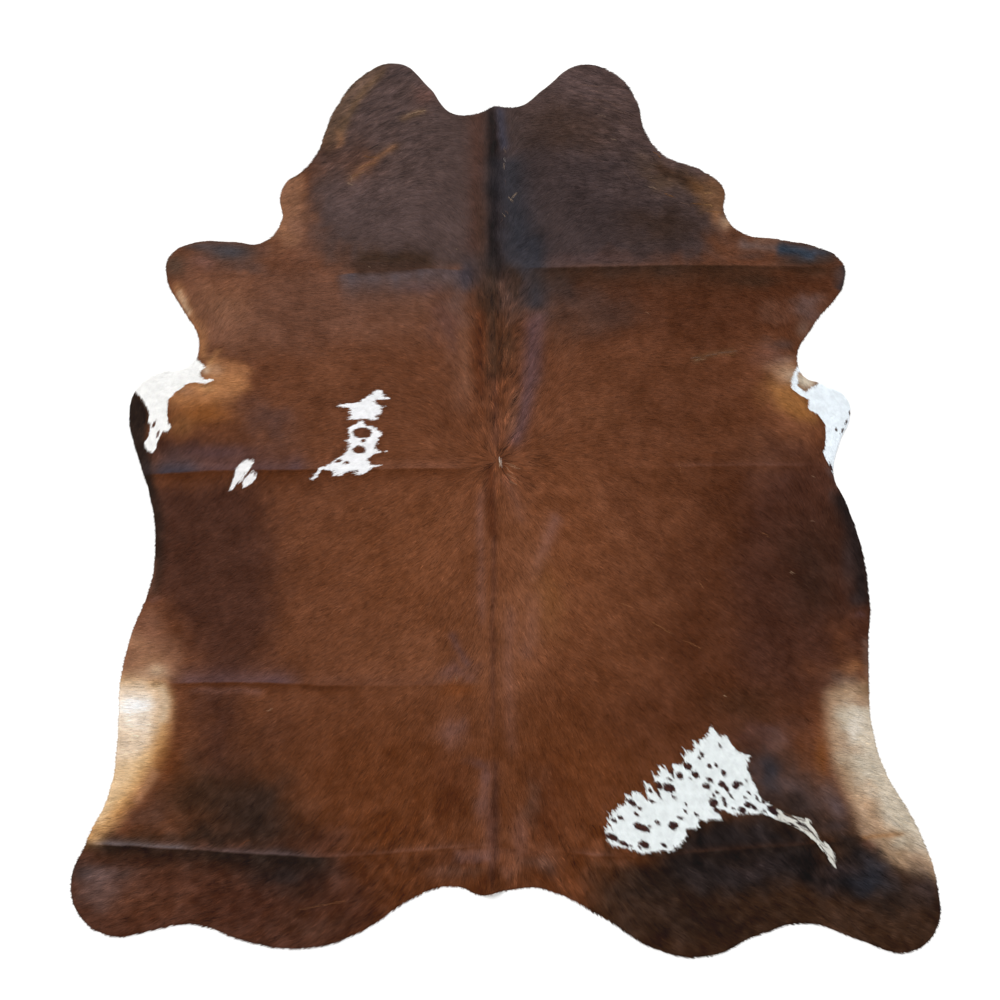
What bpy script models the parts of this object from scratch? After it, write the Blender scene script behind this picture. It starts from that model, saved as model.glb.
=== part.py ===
"""Cowhide rug: one whole hide, laid out flat, hair side up.

The hide is a single piece, leather with its own short hair coat, cut along
one uneven outline with no hem, lining or binding.  It lies on the floor plane
z = 0 with the neck towards +Y, the tail towards -Y and the left half of the
hide at -X.  Where it was folded for storage it still stands up a little: one
long fold along the spine, four folds across and a few soft ripples.
Everywhere else its underside is flat on z = 0.  All sizes are in metres.
"""
import math

import bpy
import numpy as np
from mathutils import Vector
from mathutils.geometry import delaunay_2d_cdt

# ------------------------------------------------------------------ sizes
LEATHER_THICKNESS = 0.0022      # tanned leather
COAT_THICKNESS = 0.0018         # short hair lying flat on it
HIDE_THICKNESS = LEATHER_THICKNESS + COAT_THICKNESS
EDGE_STEP = 0.022               # spacing of the points round the outline
FIELD_STEP = 0.060              # spacing of the points in the open field
FOLD_STEP = 0.050               # spacing of the points along a fold
CLOSEST = 0.010                 # no two points are nearer than this

# Outline, one landmark a row, down both sides of the hide from neck to tail.
#   landmark        left x   left y   right x  right y
EDGE = (
    ("neck",        -0.140,  1.020,   0.042,  1.044),
    ("cheek_in",    -0.212,  1.108,   0.110,  1.098),
    ("cheek_top",   -0.300,  1.185,   0.215,  1.180),
    ("cheek_out",   -0.400,  1.145,   0.320,  1.145),
    ("cheek_low",   -0.475,  1.030,   0.370,  1.070),
    ("nape",        -0.530,  0.870,   0.395,  0.960),
    ("nape_low",    -0.565,  0.830,   0.445,  0.885),
    ("throat_top",  -0.595,  0.808,   0.545,  0.840),
    ("throat",      -0.613,  0.755,   0.603,  0.782),
    ("throat_low",  -0.605,  0.685,   0.600,  0.715),
    ("arm_pit",     -0.650,  0.620,   0.640,  0.650),
    ("arm_top",     -0.740,  0.622,   0.740,  0.629),
    ("fore_top",    -0.835,  0.620,   0.840,  0.607),
    ("fore_out",    -0.900,  0.580,   0.903,  0.569),
    ("fore_tip",    -0.905,  0.515,   0.915,  0.520),
    ("fore_in",     -0.850,  0.415,   0.815,  0.370),
    ("elbow",       -0.803,  0.325,   0.768,  0.284),
    ("elbow_low",   -0.822,  0.261,   0.779,  0.234),
    ("flap_top",    -0.900,  0.240,   0.830,  0.208),
    ("flap_out",    -0.955,  0.200,   0.888,  0.170),
    ("flap_tip",    -0.970,  0.130,   0.893,  0.120),
    ("flap_low",    -0.948,  0.040,   0.858,  0.042),
    ("side_top",    -0.900, -0.090,   0.838, -0.040),
    ("side",        -0.874, -0.212,   0.865, -0.112),
    ("side_low",    -0.880, -0.340,   0.897, -0.260),
    ("flank_top",   -0.909, -0.430,   0.900, -0.370),
    ("flank",       -0.930, -0.560,   0.885, -0.520),
    ("haunch_top",  -0.925, -0.690,   0.882, -0.690),
    ("haunch",      -0.932, -0.820,   0.905, -0.780),
    ("shank",       -0.973, -0.930,   0.963, -0.900),
    ("hock",        -1.002, -1.030,   0.998, -1.020),
    ("heel",        -0.972, -1.102,   0.985, -1.130),
    ("toe",         -0.905, -1.140,   0.915, -1.175),
    ("toe_in",      -0.810, -1.130,   0.810, -1.150),
    ("rump_dip",    -0.720, -1.115,   0.690, -1.113),
    ("rump_out",    -0.580, -1.155,   0.570, -1.142),
    ("rump",        -0.440, -1.166,   0.470, -1.183),
    ("rump_in",     -0.308, -1.120,   0.360, -1.175),
    ("tail_side",   -0.220, -1.062,   0.225, -1.100),
    ("tail_dip",    -0.115, -1.033,   0.090, -1.040),
)
NECK_RIDGE = (-0.010, 1.041)    # the outline's middle point at the neck
TAIL_TIP = (-0.050, -1.054)     # the short stub of the tail
TAIL_NICK = (0.000, -1.043)     # the nick beside it

# Folds, one a row: each runs from its start over its middle to its end and
# is a soft ridge with a height at each of the three, fading over its reach.
#   fold             start x,  y       middle x,  y       end x,  y        heights            reach
FOLDS = (
    ("spine_neck",   -0.026,  1.060,  -0.024,  0.600,  -0.020,  0.060,  0.011, 0.007, 0.004,  0.034),
    ("spine_back",   -0.020,  0.060,  -0.027, -0.500,  -0.026, -1.070,  0.004, 0.006, 0.009,  0.034),
    ("shoulder_l",   -0.860,  0.553,  -0.420,  0.556,  -0.090,  0.536,  0.002, 0.004, 0.002,  0.032),
    ("shoulder_r",    0.020,  0.541,   0.400,  0.552,   0.930,  0.545,  0.003, 0.005, 0.004,  0.034),
    ("girth_l",      -0.950, -0.030,  -0.500, -0.028,  -0.040, -0.022,  0.006, 0.005, 0.002,  0.030),
    ("girth_r",       0.040, -0.024,   0.400, -0.027,   0.820, -0.014,  0.002, 0.003, 0.001,  0.030),
    ("loin_l",       -0.830, -0.570,  -0.500, -0.567,  -0.060, -0.575,  0.005, 0.006, 0.001,  0.030),
    ("rump_l",       -0.980, -0.926,  -0.480, -0.976,  -0.030, -0.944,  0.007, 0.005, 0.003,  0.032),
    ("rump_r",       -0.010, -0.944,   0.560, -0.984,   0.985, -0.902,  0.003, 0.005, 0.007,  0.032),
    ("flank_slant",   0.190, -0.080,   0.340, -0.270,   0.500, -0.490,  0.001, 0.004, 0.001,  0.060),
    ("loin_ripple",   0.140, -0.110,   0.112, -0.220,   0.060, -0.340,  0.001, 0.004, 0.001,  0.036),
    ("loin_ripple_2", 0.080, -0.390,   0.100, -0.500,   0.050, -0.640,  0.001, 0.003, 0.001,  0.036),
    ("tuck_l",       -0.900, -0.350,  -0.868, -0.356,  -0.836, -0.372,  0.004, 0.004, 0.001,  0.022),
    ("tuck_r",        0.912, -0.385,   0.876, -0.386,   0.838, -0.372,  0.005, 0.004, 0.001,  0.022),
)

# Broad swells where the hide has not quite settled.
#   swell            x        y       half length  half width  turn (deg)  height
SWELLS = (
    ("withers_l",   -0.330,   0.300,  0.260,       0.150,       20,        0.003),
    ("withers_r",    0.330,   0.770,  0.220,       0.130,      -15,        0.003),
    ("flank_l",     -0.560,  -0.280,  0.240,       0.120,       80,        0.003),
    ("flank_r",      0.640,   0.220,  0.230,       0.130,      100,        0.003),
    ("thigh_l",     -0.640,  -0.760,  0.200,       0.110,       35,        0.003),
    ("thigh_r",      0.520,  -0.760,  0.220,       0.120,      -30,        0.003),
)
SLACK = 0.0008                  # swells and folds lower than this lie flat


# ------------------------------------------------------- start from nothing
for old in list(bpy.data.objects):
    bpy.data.objects.remove(old, do_unlink=True)


def collection(name):
    made = bpy.data.collections.new(name)
    bpy.context.scene.collection.children.link(made)
    return made


PARTS = collection("cowhide_rug")
GUIDES = collection("guides")


# ---------------------------------------------------------------- outline
def outline_landmarks():
    """The landmarks once round the hide, counter-clockwise from above."""
    left = [(row[1], row[2]) for row in EDGE]
    right = [(row[3], row[4]) for row in reversed(EDGE)]
    return [NECK_RIDGE] + left + [TAIL_TIP, TAIL_NICK] + right


def outline_curve():
    """A closed smooth curve through the landmarks, kept as a guide."""
    curve = bpy.data.curves.new("hide_outline", "CURVE")
    curve.dimensions = "2D"
    curve.fill_mode = "NONE"
    curve.resolution_u = 24
    curve.render_resolution_u = 24
    spline = curve.splines.new("BEZIER")
    marks = outline_landmarks()
    spline.bezier_points.add(len(marks) - 1)
    for point, (x, y) in zip(spline.bezier_points, marks):
        point.co = (x, y, 0.0)
        point.handle_left_type = "AUTO"
        point.handle_right_type = "AUTO"
    spline.use_cyclic_u = True
    guide = bpy.data.objects.new("hide_outline", curve)
    guide.hide_render = True
    guide.display_type = "WIRE"
    GUIDES.objects.link(guide)
    bpy.context.view_layer.update()
    drawn = guide.evaluated_get(bpy.context.evaluated_depsgraph_get()).to_mesh()
    points = np.array([(v.co.x, v.co.y) for v in drawn.vertices])
    guide.to_mesh_clear()
    return points


def even_steps(points, step):
    """The closed line through the points again, in even steps."""
    ring = np.vstack([points, points[:1]])
    run = np.concatenate([[0.0], np.cumsum(np.hypot(*np.diff(ring, axis=0).T))])
    count = int(round(run[-1] / step))
    at = np.linspace(0.0, run[-1], count, endpoint=False)
    return np.stack([np.interp(at, run, ring[:, 0]), np.interp(at, run, ring[:, 1])], 1)


def inside(points, ring):
    """Which points lie inside the closed ring (even-odd rule)."""
    x, y = points[:, 0:1], points[:, 1:2]
    x0, y0 = ring[:, 0], ring[:, 1]
    x1, y1 = np.roll(x0, -1), np.roll(y0, -1)
    spans = (y0 > y) != (y1 > y)
    rise = np.where(y1 == y0, 1.0, y1 - y0)
    cross = x < (x1 - x0) * (y - y0) / rise + x0
    return (spans & cross).sum(axis=1) % 2 == 1


def nearest(points, others):
    return np.sqrt(((points[:, None, :] - others[None, :, :]) ** 2).sum(2)).min(1)


# ------------------------------------------------------------ folds, swells
def fold_line(row, count=49):
    """Points and heights along a fold, a parabola through its middle."""
    t = np.linspace(0.0, 1.0, count)
    a, b, c = (1 - t) * (1 - 2 * t), 4 * t * (1 - t), t * (2 * t - 1)
    line = np.stack([a * row[1] + b * row[3] + c * row[5],
                     a * row[2] + b * row[4] + c * row[6]], 1)
    height = np.interp(t, (0.0, 0.5, 1.0), (row[7], row[8], row[9]))
    return line, height


def fold_lift(points, row):
    line, height = fold_line(row)
    start, end = line[:-1], line[1:]
    run = end - start
    length2 = (run ** 2).sum(1)
    rel = points[:, None, :] - start[None, :, :]
    t = np.clip((rel * run).sum(2) / length2, 0.0, 1.0)
    gap = np.sqrt(((rel - t[..., None] * run) ** 2).sum(2))
    best = gap.argmin(1)
    pick = np.arange(len(points))
    gap, t = gap[pick, best], t[pick, best]
    lift = height[best] * (1 - t) + height[best + 1] * t
    reach = row[10]
    return lift * np.cos(np.clip(gap / reach, 0.0, 1.0) * math.pi / 2) ** 2


def swell_lift(points, row):
    name, x, y, long, wide, turn, height = row
    a = math.radians(turn)
    dx, dy = points[:, 0] - x, points[:, 1] - y
    u = (dx * math.cos(a) + dy * math.sin(a)) / long
    v = (-dx * math.sin(a) + dy * math.cos(a)) / wide
    return height * np.cos(np.clip(np.hypot(u, v), 0.0, 1.0) * math.pi / 2) ** 2


def lift(points):
    """How far the hide stands off the floor at each point."""
    folds = np.max([fold_lift(points, row) for row in FOLDS], axis=0)
    swells = np.max([swell_lift(points, row) for row in SWELLS], axis=0)
    return np.maximum(0.0, folds + 0.6 * swells - SLACK)


# --------------------------------------------------------- the field points
def field_points(ring):
    """Points over the hide: rows along every fold, then an even field."""
    rows = []
    for row in FOLDS:
        line, _ = fold_line(row)
        run = np.concatenate([[0.0], np.cumsum(np.hypot(*np.diff(line, axis=0).T))])
        count = max(3, int(round(run[-1] / FOLD_STEP)))
        at = np.linspace(0.0, run[-1], count)
        line = np.stack([np.interp(at, run, line[:, 0]), np.interp(at, run, line[:, 1])], 1)
        along = np.gradient(line, axis=0)
        along /= np.hypot(*along.T)[:, None]
        across = np.stack([-along[:, 1], along[:, 0]], 1)
        for share in (0.0, -0.5, 0.5, -1.05, 1.05):
            rows.append(line + across * row[10] * share)
    rise = FIELD_STEP * math.sqrt(3) / 2
    low, high = ring.min(0), ring.max(0)
    for j, y in enumerate(np.arange(low[1], high[1], rise)):
        x = np.arange(low[0], high[0], FIELD_STEP) + (FIELD_STEP / 2 if j % 2 else 0.0)
        rows.append(np.stack([x, np.full(len(x), y)], 1))
    kept = np.zeros((0, 2))
    fold_rows = 5 * len(FOLDS)
    for n, row in enumerate(rows):
        row = row[inside(row, ring)]
        if len(row) == 0:
            continue
        off_edge = CLOSEST if n < fold_rows else 0.6 * FIELD_STEP
        row = row[nearest(row, ring) > off_edge]
        apart = CLOSEST if n < fold_rows else 0.62 * FIELD_STEP
        if len(kept) and len(row):
            row = row[nearest(row, kept) > apart]
        kept = np.vstack([kept, row])
    return kept


# ---------------------------------------------------------------- material
def leather_with_hair():
    material = bpy.data.materials.new("hide")
    material.use_nodes = True
    surface = material.node_tree.nodes["Principled BSDF"]
    surface.inputs["Base Color"].default_value = (0.105, 0.032, 0.012, 1.0)
    surface.inputs["Roughness"].default_value = 0.55
    surface.inputs["Metallic"].default_value = 0.0
    return material


# -------------------------------------------------------------------- hide
def hide():
    ring = even_steps(outline_curve(), EDGE_STEP)
    centre = (ring.min(0) + ring.max(0)) / 2
    field = field_points(ring)
    flat = np.vstack([ring, field])
    count = len(ring)
    edges = [(i, (i + 1) % count) for i in range(count)]
    verts, _, faces, _, _, _ = delaunay_2d_cdt([Vector(p) for p in flat], edges, [], 1, 1e-7)
    flat = np.array([(v.x, v.y) for v in verts])
    height = lift(flat)
    flat = flat - centre                      # the origin is the box's middle
    mesh = bpy.data.meshes.new("hide")
    mesh.from_pydata([(x, y, z) for (x, y), z in zip(flat.tolist(), height.tolist())], [], faces)
    mesh.update()
    piece = bpy.data.objects.new("hide", mesh)
    PARTS.objects.link(piece)
    if sum(p.normal.z for p in mesh.polygons) < 0:
        mesh.flip_normals()
    mesh.materials.append(leather_with_hair())
    shell = piece.modifiers.new("thickness", "SOLIDIFY")
    shell.thickness = HIDE_THICKNESS
    shell.offset = 1.0                        # grows upwards: the underside stays put
    shell.use_even_offset = False
    shell.use_rim = True
    mesh.shade_smooth()
    mesh.set_sharp_from_angle(angle=math.radians(40.0))
    return piece


hide()
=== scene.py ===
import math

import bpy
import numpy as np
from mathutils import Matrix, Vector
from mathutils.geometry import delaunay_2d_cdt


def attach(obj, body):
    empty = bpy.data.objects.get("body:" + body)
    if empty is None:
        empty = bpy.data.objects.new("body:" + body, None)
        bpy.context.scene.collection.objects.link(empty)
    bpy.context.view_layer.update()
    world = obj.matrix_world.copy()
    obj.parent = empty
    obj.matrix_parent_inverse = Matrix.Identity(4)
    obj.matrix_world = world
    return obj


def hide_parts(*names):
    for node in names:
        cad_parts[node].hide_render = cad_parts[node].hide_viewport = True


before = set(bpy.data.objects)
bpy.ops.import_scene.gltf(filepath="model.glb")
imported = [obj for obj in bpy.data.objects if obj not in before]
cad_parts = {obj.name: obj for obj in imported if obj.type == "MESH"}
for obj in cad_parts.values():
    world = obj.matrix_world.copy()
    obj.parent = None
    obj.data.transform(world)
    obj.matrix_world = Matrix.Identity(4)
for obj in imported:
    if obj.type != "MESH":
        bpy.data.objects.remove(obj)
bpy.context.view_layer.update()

# Cowhide rug: the looks of one whole hide, laid out flat, hair side up.
#
# A coat of short hair over leather, with its fold lines, its ripples, its
# rolled edge and its pale flesh side, and some two hundred thousand locks of
# hair combed along it.  Everything is in metres in the frame of the solid.
# Markings are placed from where they are seen: a place (u, v) in the
# tables below is in thousandths of the view, u to the right and v down.

# ------------------------------------------------------------------- sizes
LEATHER = 0.0022                # tanned leather
COAT = 0.0018                   # short hair lying flat on it
EDGE_STEP = 0.0065              # spacing of the points round the outline
FIELD_STEP = 0.0092             # spacing of the points in the open field
MARK_STEP = 0.0042              # spacing inside and round the markings
CREASE_STEP = 0.0080            # spacing along the crease lines
FLESH_STEP = 0.0240             # spacing on the underside
ROLL = 0.0090                   # how far in the coat thins towards the edge

LOCK_LONG = 0.0150              # a lock of hair: its length,
LOCK_WIDE = 0.0021              # its width at the root
LOCK_DEEP = 0.00040             # and how far it stands up
LOCK_STEP = 0.0050              # spacing of the locks
MARK_LONG = 0.0115              # the same in and round the markings,
MARK_WIDE = 0.0015              # where the hair is drawn finer
MARK_LOCK_STEP = 0.0024
LOCK_PIECES = 4
LOCKS_PER_PIECE = 49500         # four faces each
TRIM = 0.0012                   # how far hair reaches past the cut edge

# -------------------------------------------------- the outline, the folds
#   landmark        left x   left y   right x  right y
EDGE = (
    ("neck",        -0.140,  1.020,   0.042,  1.044),
    ("cheek_in",    -0.212,  1.108,   0.110,  1.098),
    ("cheek_top",   -0.300,  1.185,   0.215,  1.180),
    ("cheek_out",   -0.400,  1.145,   0.320,  1.145),
    ("cheek_low",   -0.475,  1.030,   0.370,  1.070),
    ("nape",        -0.530,  0.870,   0.395,  0.960),
    ("nape_low",    -0.565,  0.830,   0.445,  0.885),
    ("throat_top",  -0.595,  0.808,   0.545,  0.840),
    ("throat",      -0.613,  0.755,   0.603,  0.782),
    ("throat_low",  -0.605,  0.685,   0.600,  0.715),
    ("arm_pit",     -0.650,  0.620,   0.640,  0.650),
    ("arm_top",     -0.740,  0.622,   0.740,  0.629),
    ("fore_top",    -0.835,  0.620,   0.840,  0.607),
    ("fore_out",    -0.900,  0.580,   0.903,  0.569),
    ("fore_tip",    -0.905,  0.515,   0.915,  0.520),
    ("fore_in",     -0.850,  0.415,   0.815,  0.370),
    ("elbow",       -0.803,  0.325,   0.768,  0.284),
    ("elbow_low",   -0.822,  0.261,   0.779,  0.234),
    ("flap_top",    -0.900,  0.240,   0.830,  0.208),
    ("flap_out",    -0.955,  0.200,   0.888,  0.170),
    ("flap_tip",    -0.970,  0.130,   0.893,  0.120),
    ("flap_low",    -0.948,  0.040,   0.858,  0.042),
    ("side_top",    -0.900, -0.090,   0.838, -0.040),
    ("side",        -0.874, -0.212,   0.865, -0.112),
    ("side_low",    -0.880, -0.340,   0.897, -0.260),
    ("flank_top",   -0.909, -0.430,   0.900, -0.370),
    ("flank",       -0.930, -0.560,   0.885, -0.520),
    ("haunch_top",  -0.925, -0.690,   0.882, -0.690),
    ("haunch",      -0.932, -0.820,   0.905, -0.780),
    ("shank",       -0.973, -0.930,   0.963, -0.900),
    ("hock",        -1.002, -1.030,   0.998, -1.020),
    ("heel",        -0.972, -1.102,   0.985, -1.130),
    ("toe",         -0.905, -1.140,   0.915, -1.175),
    ("toe_in",      -0.810, -1.130,   0.810, -1.150),
    ("rump_dip",    -0.720, -1.115,   0.690, -1.113),
    ("rump_out",    -0.580, -1.155,   0.570, -1.142),
    ("rump",        -0.440, -1.166,   0.470, -1.183),
    ("rump_in",     -0.308, -1.120,   0.360, -1.175),
    ("tail_side",   -0.220, -1.062,   0.225, -1.100),
    ("tail_dip",    -0.115, -1.033,   0.090, -1.040),
)
NECK_RIDGE = (-0.010, 1.041)
TAIL_TIP = (-0.050, -1.054)
TAIL_NICK = (0.000, -1.043)

#   fold             start x,  y       middle x,  y       end x,  y        heights            reach
FOLDS = (
    ("spine_neck",   -0.026,  1.060,  -0.024,  0.600,  -0.020,  0.060,  0.011, 0.007, 0.004,  0.034),
    ("spine_back",   -0.020,  0.060,  -0.027, -0.500,  -0.026, -1.070,  0.004, 0.006, 0.009,  0.034),
    ("shoulder_l",   -0.860,  0.553,  -0.420,  0.556,  -0.090,  0.536,  0.002, 0.004, 0.002,  0.032),
    ("shoulder_r",    0.020,  0.541,   0.400,  0.552,   0.930,  0.545,  0.003, 0.005, 0.004,  0.034),
    ("girth_l",      -0.950, -0.030,  -0.500, -0.028,  -0.040, -0.022,  0.006, 0.005, 0.002,  0.030),
    ("girth_r",       0.040, -0.024,   0.400, -0.027,   0.820, -0.014,  0.002, 0.003, 0.001,  0.030),
    ("loin_l",       -0.830, -0.570,  -0.500, -0.567,  -0.060, -0.575,  0.005, 0.006, 0.001,  0.030),
    ("rump_l",       -0.980, -0.926,  -0.480, -0.976,  -0.030, -0.944,  0.007, 0.005, 0.003,  0.032),
    ("rump_r",       -0.010, -0.944,   0.560, -0.984,   0.985, -0.902,  0.003, 0.005, 0.007,  0.032),
    ("flank_slant",   0.190, -0.080,   0.340, -0.270,   0.500, -0.490,  0.001, 0.004, 0.001,  0.060),
    ("loin_ripple",   0.140, -0.110,   0.112, -0.220,   0.060, -0.340,  0.001, 0.004, 0.001,  0.036),
    ("loin_ripple_2", 0.080, -0.390,   0.100, -0.500,   0.050, -0.640,  0.001, 0.003, 0.001,  0.036),
    ("tuck_l",       -0.900, -0.350,  -0.868, -0.356,  -0.836, -0.372,  0.004, 0.004, 0.001,  0.022),
    ("tuck_r",        0.912, -0.385,   0.876, -0.386,   0.838, -0.372,  0.005, 0.004, 0.001,  0.022),
)
#   swell            x        y       half length  half width  turn (deg)  height
SWELLS = (
    ("withers_l",   -0.330,   0.300,  0.260,       0.150,       20,        0.003),
    ("withers_r",    0.330,   0.770,  0.220,       0.130,      -15,        0.003),
    ("flank_l",     -0.560,  -0.280,  0.240,       0.120,       80,        0.003),
    ("flank_r",      0.640,   0.220,  0.230,       0.130,      100,        0.003),
    ("thigh_l",     -0.640,  -0.760,  0.200,       0.110,       35,        0.003),
    ("thigh_r",      0.520,  -0.760,  0.220,       0.120,      -30,        0.003),
)
SLACK = 0.0008

# Creases, the sharp lines along the folds: each is a thin ridge through the
# places given, with its height and its half width on the far and near side.
#   crease            height   far     near    places (u, v)
CREASES = (
    ("spine_top",     0.0022, 0.0080, 0.0060, ((494, 106), (493, 180), (494, 250), (495, 330), (496, 400), (497, 458))),
    ("spine_low",     0.0020, 0.0070, 0.0070, ((497, 466), (494, 560), (493, 660), (494, 760), (493, 840), (490, 892))),
    ("shoulder_l",    0.0014, 0.0100, 0.0050, ((330, 276), (354, 273.5), (382, 272), (410, 270), (438, 269), (474, 272))),
    ("shoulder_r",    0.0017, 0.0110, 0.0040, ((510, 269), (560, 268), (610, 267), (660, 266), (720, 266), (780, 267), (838, 268))),
    ("girth_l",       0.0019, 0.0110, 0.0040, ((150, 475), (165, 474), (185, 473), (210, 471.5), (250, 471), (300, 470.5), (350, 470),
                                               (410, 469), (470, 469))),
    ("girth_r",       0.0009, 0.0080, 0.0050, ((520, 470), (600, 469), (680, 467), (740, 466), (818, 466))),
    ("loin_l",        0.0019, 0.0110, 0.0040, ((168, 684), (200, 683), (250, 683), (290, 684), (330, 686), (400, 686), (480, 684))),
    ("rump_l",        0.0019, 0.0090, 0.0040, ((88, 844), (110, 845), (135, 846), (160, 848), (200, 850), (240, 853), (280, 855),
                                               (320, 857), (380, 854), (440, 849), (490, 846))),
    ("rump_r",        0.0018, 0.0090, 0.0045, ((498, 848), (550, 851), (600, 856), (650, 857), (690, 853), (740, 849), (800, 845),
                                               (840, 842), (880, 838), (922, 832))),
    ("flank_slant",   0.0006, 0.0200, 0.0140, ((590, 484), (622, 530), (655, 584), (690, 640))),
    ("ripple_a",      0.0008, 0.0110, 0.0090, ((558, 512), (547, 540), (538, 564), (530, 584))),
    ("ripple_b",      0.0007, 0.0110, 0.0090, ((537, 616), (530, 640), (522, 662))),
    ("tuck_l",        0.0014, 0.0070, 0.0050, ((138, 596), (152, 600), (164, 604))),
    ("tuck_r",        0.0016, 0.0070, 0.0050, ((872, 604), (858, 608), (846, 612))),
)

# ------------------------------------------------------- where it is seen from
# The camera stands over the near side and looks down at 74 degrees.
VIEW_DOWN = math.radians(74.0)
VIEW_REACH = 2.9                # from the lens to the middle of the view
VIEW_LONG = 1.1445              # focal length, in view widths
AIM = (-0.0107, -0.1049)        # where on the floor the view's middle is
LIE = 0.0045                    # how high the coat lies, about


def placed(u, v):
    """The place on the coat seen at (u, v)."""
    u, v = np.asarray(u, float) / 1000.0, np.asarray(v, float) / 1000.0
    se, ce = math.sin(VIEW_DOWN), math.cos(VIEW_DOWN)
    run = ((0.5 - v) * (VIEW_REACH - LIE * se) - VIEW_LONG * LIE * ce) / (VIEW_LONG * se - (0.5 - v) * ce)
    side = (u - 0.5) * (VIEW_REACH + run * ce - LIE * se) / VIEW_LONG
    return np.stack([side + AIM[0], run + AIM[1]], -1)


def seen(points):
    """Where points of the coat are seen: (u, v) in thousandths."""
    side, run = points[:, 0] - AIM[0], points[:, 1] - AIM[1]
    se, ce = math.sin(VIEW_DOWN), math.cos(VIEW_DOWN)
    deep = VIEW_REACH + run * ce - LIE * se
    return np.stack([500.0 + 1000.0 * VIEW_LONG * side / deep,
                     500.0 - 1000.0 * VIEW_LONG * (run * se + LIE * ce) / deep], 1)


# ------------------------------------------------------------- small helpers
def smooth(x, low, high):
    t = np.clip((x - low) / (high - low), 0.0, 1.0)
    return t * t * (3 - 2 * t)


def line_gap(points, line, closed=False, reach=None):
    """Distance to a polyline, its side (+ left of its run) and the share along.

    Points further than reach from its box get a large distance."""
    line = np.asarray(line, float)
    if closed:
        line = np.vstack([line, line[:1]])
    n = len(points)
    gap, side, along = np.full(n, 1e6), np.ones(n), np.zeros(n)
    if reach is None:
        pick = np.arange(n)
    else:
        low, high = line.min(0) - reach, line.max(0) + reach
        pick = np.nonzero(((points > low) & (points < high)).all(1))[0]
    if len(pick) == 0:
        return gap, side, along
    p = points[pick]
    start, run = line[:-1], line[1:] - line[:-1]
    size2 = np.maximum((run ** 2).sum(1), 1e-18)
    past = np.concatenate([[0.0], np.cumsum(np.sqrt(size2))])
    best = np.full(len(p), 1e12)
    bside, balong = np.ones(len(p)), np.zeros(len(p))
    for k in range(len(run)):
        rel = p - start[k]
        t = np.clip((rel @ run[k]) / size2[k], 0.0, 1.0)
        off = rel - t[:, None] * run[k]
        d2 = (off ** 2).sum(1)
        near = d2 < best
        best = np.where(near, d2, best)
        cross = run[k][0] * rel[:, 1] - run[k][1] * rel[:, 0]
        bside = np.where(near, np.where(cross >= 0, 1.0, -1.0), bside)
        balong = np.where(near, (past[k] + t * math.sqrt(size2[k])) / past[-1], balong)
    gap[pick], side[pick], along[pick] = np.sqrt(best), bside, balong
    return gap, side, along


def inside(points, ring):
    """Which points lie inside the closed ring (even-odd rule)."""
    odd = np.zeros(len(points), bool)
    low, high = ring.min(0), ring.max(0)
    pick = np.nonzero(((points >= low) & (points <= high)).all(1))[0]
    x, y = points[pick, 0], points[pick, 1]
    hit = np.zeros(len(pick), bool)
    for (x0, y0), (x1, y1) in zip(ring, np.roll(ring, -1, axis=0)):
        if y0 == y1:
            continue
        spans = (y0 > y) != (y1 > y)
        hit ^= spans & (x < (x1 - x0) * (y - y0) / (y1 - y0) + x0)
    odd[pick] = hit
    return odd


def signed(points, ring, reach):
    """Distance inside a closed ring, negative outside, cut off at reach."""
    gap, _, _ = line_gap(points, ring, closed=True, reach=reach)
    gap = np.minimum(gap, reach)
    return np.where(inside(points, np.asarray(ring, float)), gap, -gap)


def rounded(line, closed=False, steps=6):
    """The line through the places again as a smooth curve (Catmull-Rom)."""
    p = np.asarray(line, float)
    if closed:
        p = np.vstack([p[-1:], p, p[:2]])
    else:
        p = np.vstack([2 * p[0] - p[1], p, 2 * p[-1] - p[-2]])
    out = []
    for k in range(1, len(p) - 2):
        a, b, c, d = p[k - 1], p[k], p[k + 1], p[k + 2]
        for t in np.linspace(0.0, 1.0, steps, endpoint=False):
            out.append(0.5 * (2 * b + (c - a) * t + (2 * a - 5 * b + 4 * c - d) * t * t
                              + (3 * b - a - 3 * c + d) * t ** 3))
    if not closed:
        out.append(p[-2])
    return np.array(out)


LIT = 1.08                      # how bright the studio makes a flat white
GLOSS = np.array((0.0078, 0.0068, 0.0062))     # what the coat's gloss adds
LATTICE = np.random.default_rng(41).random((64, 64))


def value_noise(x, y, seed=0):
    """Smooth seeded noise, 0 to 1, one lump a unit."""
    x, y = x + 17.31 * seed, y + 9.77 * seed
    i, j = np.floor(x).astype(int), np.floor(y).astype(int)
    fx, fy = x - i, y - j
    fx, fy = fx * fx * (3 - 2 * fx), fy * fy * (3 - 2 * fy)
    k = seed * 7
    g = lambda a, b: LATTICE[(a + k + b // 64 * 5) % 64, (b + 3 * k + a // 64 * 11) % 64]
    low = g(i, j) * (1 - fx) + g(i + 1, j) * fx
    high = g(i, j + 1) * (1 - fx) + g(i + 1, j + 1) * fx
    return low * (1 - fy) + high * fy


def combed_noise(points, way, long, wide, seed=0, turns=12):
    """Noise drawn out along the hair: long by wide, in metres, 0 to 1."""
    total, weight = np.zeros(len(points)), np.zeros(len(points))
    for k in range(turns):
        a = math.pi * k / turns
        near = np.clip(np.cos(2 * (way - a)), 0.0, 1.0) ** 24
        pick = near > 0.02
        if not pick.any():
            continue
        x, y = points[pick, 0], points[pick, 1]
        u = (x * math.cos(a) + y * math.sin(a)) / long
        v = (-x * math.sin(a) + y * math.cos(a)) / wide
        total[pick] += near[pick] * value_noise(u, v, seed + k)
        weight[pick] += near[pick]
    return total / np.maximum(weight, 1e-6)


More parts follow.
